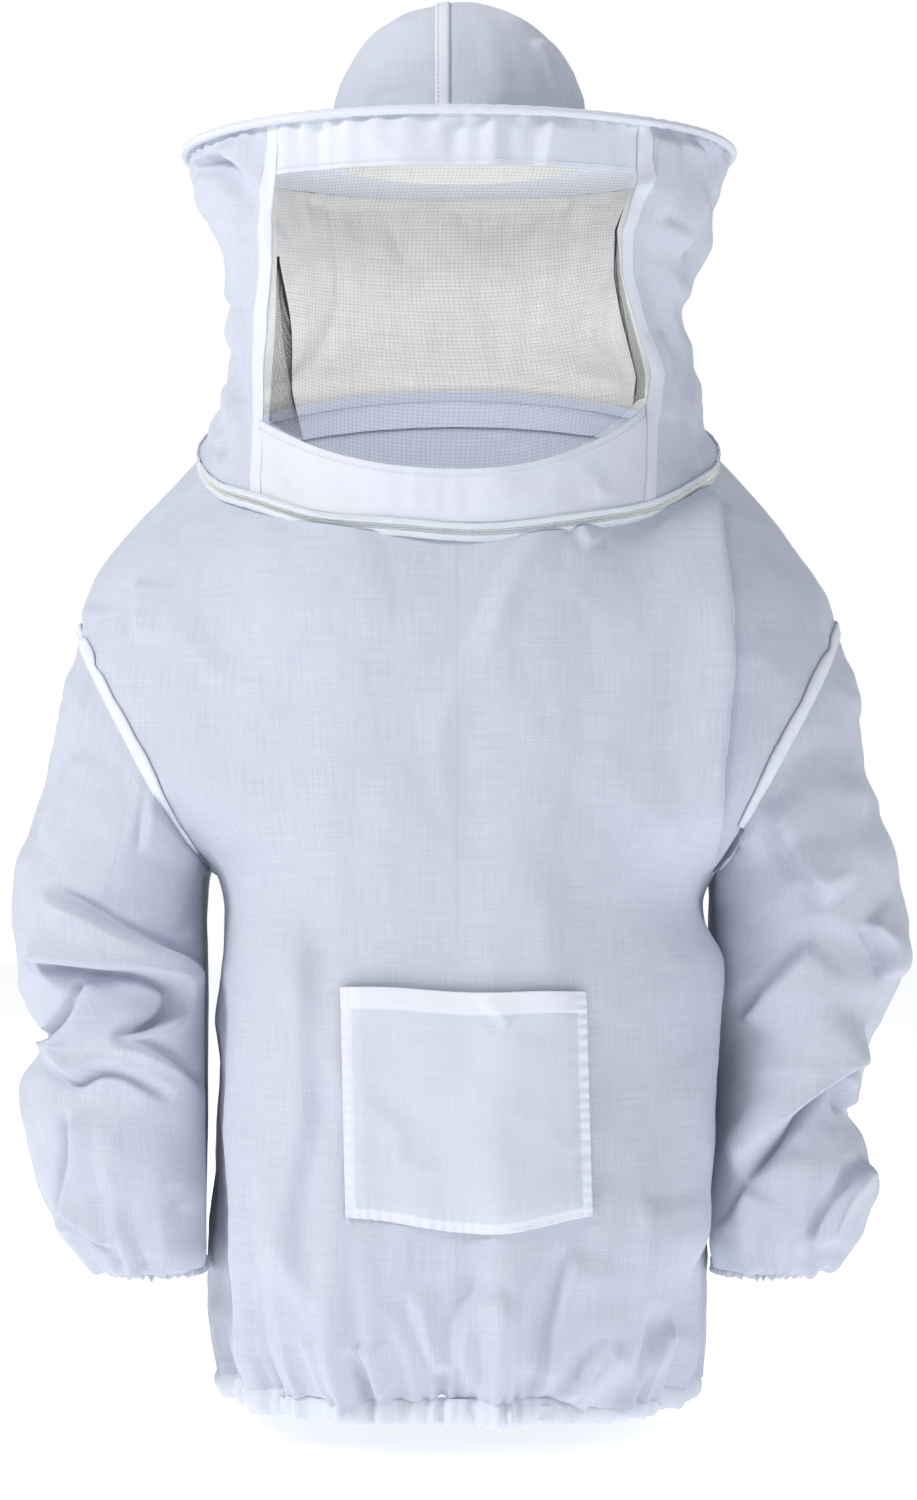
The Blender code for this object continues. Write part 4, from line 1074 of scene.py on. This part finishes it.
def foldShadeShare(share, low, high):
    # how far a fold of slack net, darkened to also stand for shade inside the veil's sides, reaches in, from
    # all of it at the bottom to none at the top
    return 1 - smoothStep(share, shareAt(low), shareAt(high))


# the folds' threads are thicker than the window's: partly a real fold of slack net, partly a dark net
# standing in for the shade of the side cloth behind
netThickness = {"window": 0.000055, "foldAndShade": 0.00014}
net = netPatch("window net", rightEdge, leftEdge,
               lambda u: collarShare(rightBottom + (leftBottom - rightBottom) * u),
               float(shareAt(veil["windowTop"])), 96, 84, 0.004, netThickness["window"])
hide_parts("window_mesh")
netPatch("net fold and shade right", rightEdge, lambda s: rightEdge(s) + 0.24 * foldShadeShare(s, 0.02, 0.14) + 0.02,
         lambda u: collarShare(rightBottom + 0.20 * u), float(shareAt(0.150)), 34, 100, 0.012,
         netThickness["foldAndShade"])
netPatch("net fold and shade left", lambda s: leftEdge(s) - 0.11 * foldShadeShare(s, 0.03, 0.178), leftEdge,
         lambda u: collarShare(leftBottom - 0.10 * (1 - u)), float(shareAt(0.178)), 16, 120, 0.006,
         netThickness["foldAndShade"])
print("window net made")


# brim
brim = {"radius": 0.2085, "height": 0.231, "hole": 0.099, "gap": 0.0022, "thickness": 0.0009,
        "piping": 0.0034, "pipingRadius": 0.2110}
brimLayers = (("brim upper layer", 1, "brim_top"), ("brim lower layer", -1, "brim_underside"))


def makeBrim():
    angle = fullTurn(360)
    reach = np.linspace(brim["hole"], brim["radius"], 40)[:, None]
    share = (reach - brim["hole"]) / (brim["radius"] - brim["hole"])
    wave = 0.0005 * waveNoise(angle, 81, 2, 7)
    shape = (len(reach), len(angle))
    for name, level, node in brimLayers:
        z = brim["height"] + level * brim["gap"] * (1 - share ** 6 * 0.6) + wave * share
        place = np.stack([reach * np.sin(angle), -reach * np.cos(angle), np.broadcast_to(z, shape)], -1)
        ripple = cloudNoise(place, 30, 82 + level) * 0.0009 + gathers(angle, 50, 83) * 0.0005 * share ** 4
        place[..., 2] += level * np.maximum(ripple, -0.0006)
        piece = sheetFromGrid(name, place, True, place[..., :2], np.ones(shape) * 0.5, flip=level < 0)
        giveThickness(piece, brim["thickness"])
        finishPiece(piece, cotton, "hood", [node])
    # piping round the edge
    around = fullTurn(720)
    wave = 0.0005 * waveNoise(around, 81, 2, 7)
    thick = brim["piping"] * (1 + 0.08 * gathers(around, 90, 84))
    rows = []
    for corner in fullTurn(10):
        reach = brim["pipingRadius"] + thick * math.cos(corner)
        z = brim["height"] + wave + thick * math.sin(corner)
        rows.append(np.c_[reach * np.sin(around), -reach * np.cos(around), z])
    grid = np.array(rows + rows[:1])
    shape = grid.shape[:2]
    weave = weaveOf(around * 0.21, np.arange(len(grid))[:, None] * 0.002, shape)
    piping = sheetFromGrid("brim piping", grid, True, weave, np.ones(shape) * 0.8)
    finishPiece(piping, cotton, "hood", ["brim_binding"])


makeBrim()
print("brim made")


# crown
crown = {"halfWidth": 0.1000, "halfDepth": 0.1050, "base": 0.235, "top": 0.3475, "power": 2.15,
         "thickness": 0.0009, "seamX": -0.012, "tape": 0.0055, "tapeThickness": 0.0007}
crownCrumples = [(cloudNoise, 20, 91, (1, 1, 1), 0.0028), (cloudNoise, 45, 92, (1, 1, 1), 0.0010)]
crownFolds = [
    ([(56, 312), (70, 290), (78, 262)], 3.5, 12, 5, 1),
    ([(78, 295), (88, 265)], 2.5, 10, 4, 1),
    ([(-70, 300), (-60, 262)], 2, 20, 10, 0),
    ([(20, 335), (30, 270)], 1.6, 20, 10, 0)]


def crownPoints(angle, rise):
    power = 2 / crown["power"]
    out, up = np.maximum(np.cos(rise), 0) ** power, np.sin(rise) ** power
    grid = np.stack([crown["halfWidth"] * out * np.sin(angle), -crown["halfDepth"] * out * np.cos(angle),
                     crown["base"] + (crown["top"] - crown["base"]) * up], -1)
    away = grid - np.array([0, 0, crown["base"] - 0.02])
    away /= np.linalg.norm(away, axis=-1, keepdims=True)
    flat = grid[..., [0, 2]].reshape(-1, 2)
    height = foldHeights(flat, crownFolds).reshape(angle.shape) * smoothStep(-grid[..., 1], -0.02, 0.02)
    calm = smoothStep(grid[..., 2], crown["base"], crown["base"] + 0.012)
    height = crumpled(height, grid, crownCrumples, calm)
    for seam in (1, 2, 3):
        gap = np.abs((angle - seam * math.pi / 2 + math.pi) % (2 * math.pi) - math.pi)
        height -= 0.0010 * np.exp(-(gap * out * 0.1 / 0.0016) ** 2)
    return grid + away * height[..., None]


def makeCrown():
    angle, rise = np.meshgrid(fullTurn(240), np.linspace(0, 1.5, 70) * math.pi / 3)
    dome = crownPoints(angle, rise)
    tip = np.broadcast_to(dome[-1].mean(0), (1, 240, 3))
    grid = np.concatenate([dome, dome[-1:] * 0.5 + tip * 0.5, dome[-1:] * 0.02 + tip * 0.98])
    whole = sheetFromGrid("crown", grid, True, grid[..., [0, 2]], np.ones(grid.shape[:2]) * 0.15)
    for frontWord, front in (("front", -1), ("rear", 1)):
        for sideWord, side in (("left", 1), ("right", -1)):
            gore = copyPiece(whole, "crown %s %s" % (frontWord, sideWord))
            cutByPlanes(gore, [[(Vector((crown["seamX"], 0, 0)), Vector((-side, 0, 0)))],
                               [(Vector((0, 0, 0)), Vector((0, -front, 0)))]])
            giveThickness(gore, crown["thickness"])
            finishPiece(gore, cotton, "hood", ["crown_%s_%s_gore" % (frontWord, sideWord)])
    tree = surfaceTree(whole)
    rise = np.linspace(0.03, 1.40, 90)
    reach = 0.1 * np.maximum(np.cos(rise), 0.16) ** 0.93
    rows = []
    for across in np.linspace(-crown["tape"], crown["tape"], 7):
        line = crownPoints(np.arcsin(np.clip((crown["seamX"] + across) / reach, -0.9, 0.9)), rise)
        rows.append(layOn(tree, line, 0.0011 + 0.0004 * (1 - abs(across) / crown["tape"])))
    grid = np.array(rows)
    doubled = np.ones(grid.shape[:2])
    tape = sheetFromGrid("crown seam tape", grid, False, grid[..., [0, 2]], doubled, flip=True)
    giveThickness(tape, crown["tapeThickness"])
    finishPiece(tape, cotton, "hood", ["crown_front_seam"])
    stitches("crown stitches", [layOn(tree, grid[k], 0.0019) for k in (1, 5)], "hood")
    base = np.linspace(0, 2 * math.pi, 200)
    ring = crownPoints(base, np.full_like(base, 0.05))
    stitches("crown base stitches", [layOn(tree, ring, 0.0004)], "hood")
    bpy.data.objects.remove(whole, do_unlink=True)


makeCrown()
print("crown made")


# neck zip
def ringPlace(angle, out, up):
    # a place on the zip's circle, wavy where the zip runs along the front
    outward = np.stack([np.sin(angle), -np.cos(angle) * math.cos(zipRing["tilt"]),
                        -np.cos(angle) * math.sin(zipRing["tilt"])], -1)
    fade = (np.abs(angle) < zipRing["waveEnd"]) * smoothStep(zipRing["waveEnd"] - np.abs(angle), 0, 0.3)
    wave = zipRing["wave"] * waveNoise(angle, 95, 3, 12) * fade
    return outward * (zipRing["radius"] + out)[..., None] + ringUp * (up + wave)[..., None]


toothLook = {"pitch": 0.0015, "size": (0.0009, 0.0024, 0.0017)}


def makeZip():
    for word, node, level, body in (("hat", "upper", 1, sideBlend), ("smock", "lower", -1, "smock")):
        line = np.linspace(-zipRing["tapeEnd"], zipRing["tapeEnd"], 500)
        angle, height = np.meshgrid(line, np.linspace(0.0021, 0.0068, 8))
        grid = ringPlace(angle, 0.0013 + 0.0004 * gathers(angle, 50, 96), level * height)
        weave = np.stack([angle * 0.2, level * height], -1)
        doubled = np.full(angle.shape, 0.2)
        tape = sheetFromGrid(word + " zip tape", grid, False, weave, doubled, flip=level < 0)
        giveThickness(tape, 0.0008)
        finishPiece(tape, zipTape, body, [node + "_zip_tape"])
        line = np.linspace(-zipRing["teethEnd"], zipRing["teethEnd"], 500)
        path = ringPlace(line, np.full_like(line, 0.0006), np.full_like(line, level * 0.0012))
        teeth = barsAlong(word + " zip teeth", [path], toothLook["pitch"], toothLook["size"], coil,
                          tuple(ringUp))
        finishPiece(teeth, coil, body, [node + "_zip_teeth"])
        row = ringPlace(line, np.full_like(line, 0.0017), np.full_like(line, level * 0.0058))
        stitches(word + " zip stitches", [row], body)


makeZip()
print("zip made")


# CAD pieces that stay, with better materials
# the sweatband shares the veil back's painted backlit colour
keptMaterials = {"hem_elastic": rubberBand, "left_cuff_elastic": rubberBand, "right_cuff_elastic": rubberBand,
                 "brim_hoop": wire, "zip_top_stop": darkMetal, "zip_bottom_stop": darkMetal,
                 "zip_slider_body": darkMetal, "zip_pull_tab": darkMetal, "neck_facing": cotton,
                 "back_neck_seam": cotton, "sweatband": backlitCloth}
for nodeName, material in keptMaterials.items():
    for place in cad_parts[nodeName].material_slots:
        place.material = material


# floor, light and camera
floorLevel = -0.745


def makeStage():
    corners = [(-6, -4, floorLevel), (6, -4, floorLevel), (6, 6, floorLevel), (-6, 6, floorLevel)]
    floor = makeMesh("floor", corners, [(0, 1, 2, 3)])
    material, _, _, shader = newMaterial("pale floor", 0.9)
    shader.inputs["Base Color"].default_value = (0.93, 0.94, 0.96, 1)
    shader.inputs["Emission Color"].default_value = (1, 1, 1, 1)
    shader.inputs["Emission Strength"].default_value = 0.68
    floor.data.materials.append(material)


def areaLight(name, place, aim, size, power, colour):
    light = bpy.data.lights.new(name, "AREA")
    light.shape = "RECTANGLE"
    light.size, light.size_y = size
    light.energy = power
    light.color = colour
    lamp = bpy.data.objects.new(name, light)
    lamp.location = place
    lamp.rotation_euler = (Vector(aim) - Vector(place)).to_track_quat("-Z", "Y").to_euler()
    bpy.context.scene.collection.objects.link(lamp)


makeStage()
areaLight("key from the left", (-2.5, -1.5, 1.9), (0, 0, -0.2), (0.7, 0.8), 76, (1.0, 0.99, 0.97))
areaLight("fill from the right", (2.4, -2.2, 0.5), (0, 0, -0.2), (1.6, 1.6), 20, (0.93, 0.96, 1.0))
areaLight("top", (0.0, 0.4, 2.4), (0, 0, 0), (2.0, 2.0), 16, (1.0, 1.0, 1.0))
areaLight("inside the veil", (0, -0.10, 0.10), (0, 0.2, 0.09), (0.20, 0.16), 0.66, (1.0, 0.99, 0.97))
world = bpy.data.worlds.new("studio")
bpy.context.scene.world = world
world.use_nodes = True
worldNodes, worldLinks = world.node_tree.nodes, world.node_tree.links
lightPath = worldNodes.new("ShaderNodeLightPath")
seen, room = worldNodes["Background"], worldNodes.new("ShaderNodeBackground")
seen.inputs["Color"].default_value, seen.inputs["Strength"].default_value = (1, 1, 1, 1), 1.0
room.inputs["Color"].default_value, room.inputs["Strength"].default_value = (0.92, 0.95, 1.0, 1), 0.27
blendWorld = worldNodes.new("ShaderNodeMixShader")
worldLinks.new(lightPath.outputs["Is Camera Ray"], blendWorld.inputs[0])
worldLinks.new(room.outputs[0], blendWorld.inputs[1])
worldLinks.new(seen.outputs[0], blendWorld.inputs[2])
worldLinks.new(blendWorld.outputs[0], worldNodes["World Output"].inputs["Surface"])
lens = bpy.data.cameras.new("camera")
lens.lens = 87
camera = bpy.data.objects.new("camera", lens)
camera.location = (0, -2.8, -0.227)
camera.rotation_euler = (math.radians(90), 0, 0)
bpy.context.scene.collection.objects.link(camera)
bpy.context.scene.camera = camera
bpy.context.scene.view_settings.view_transform = "Standard"
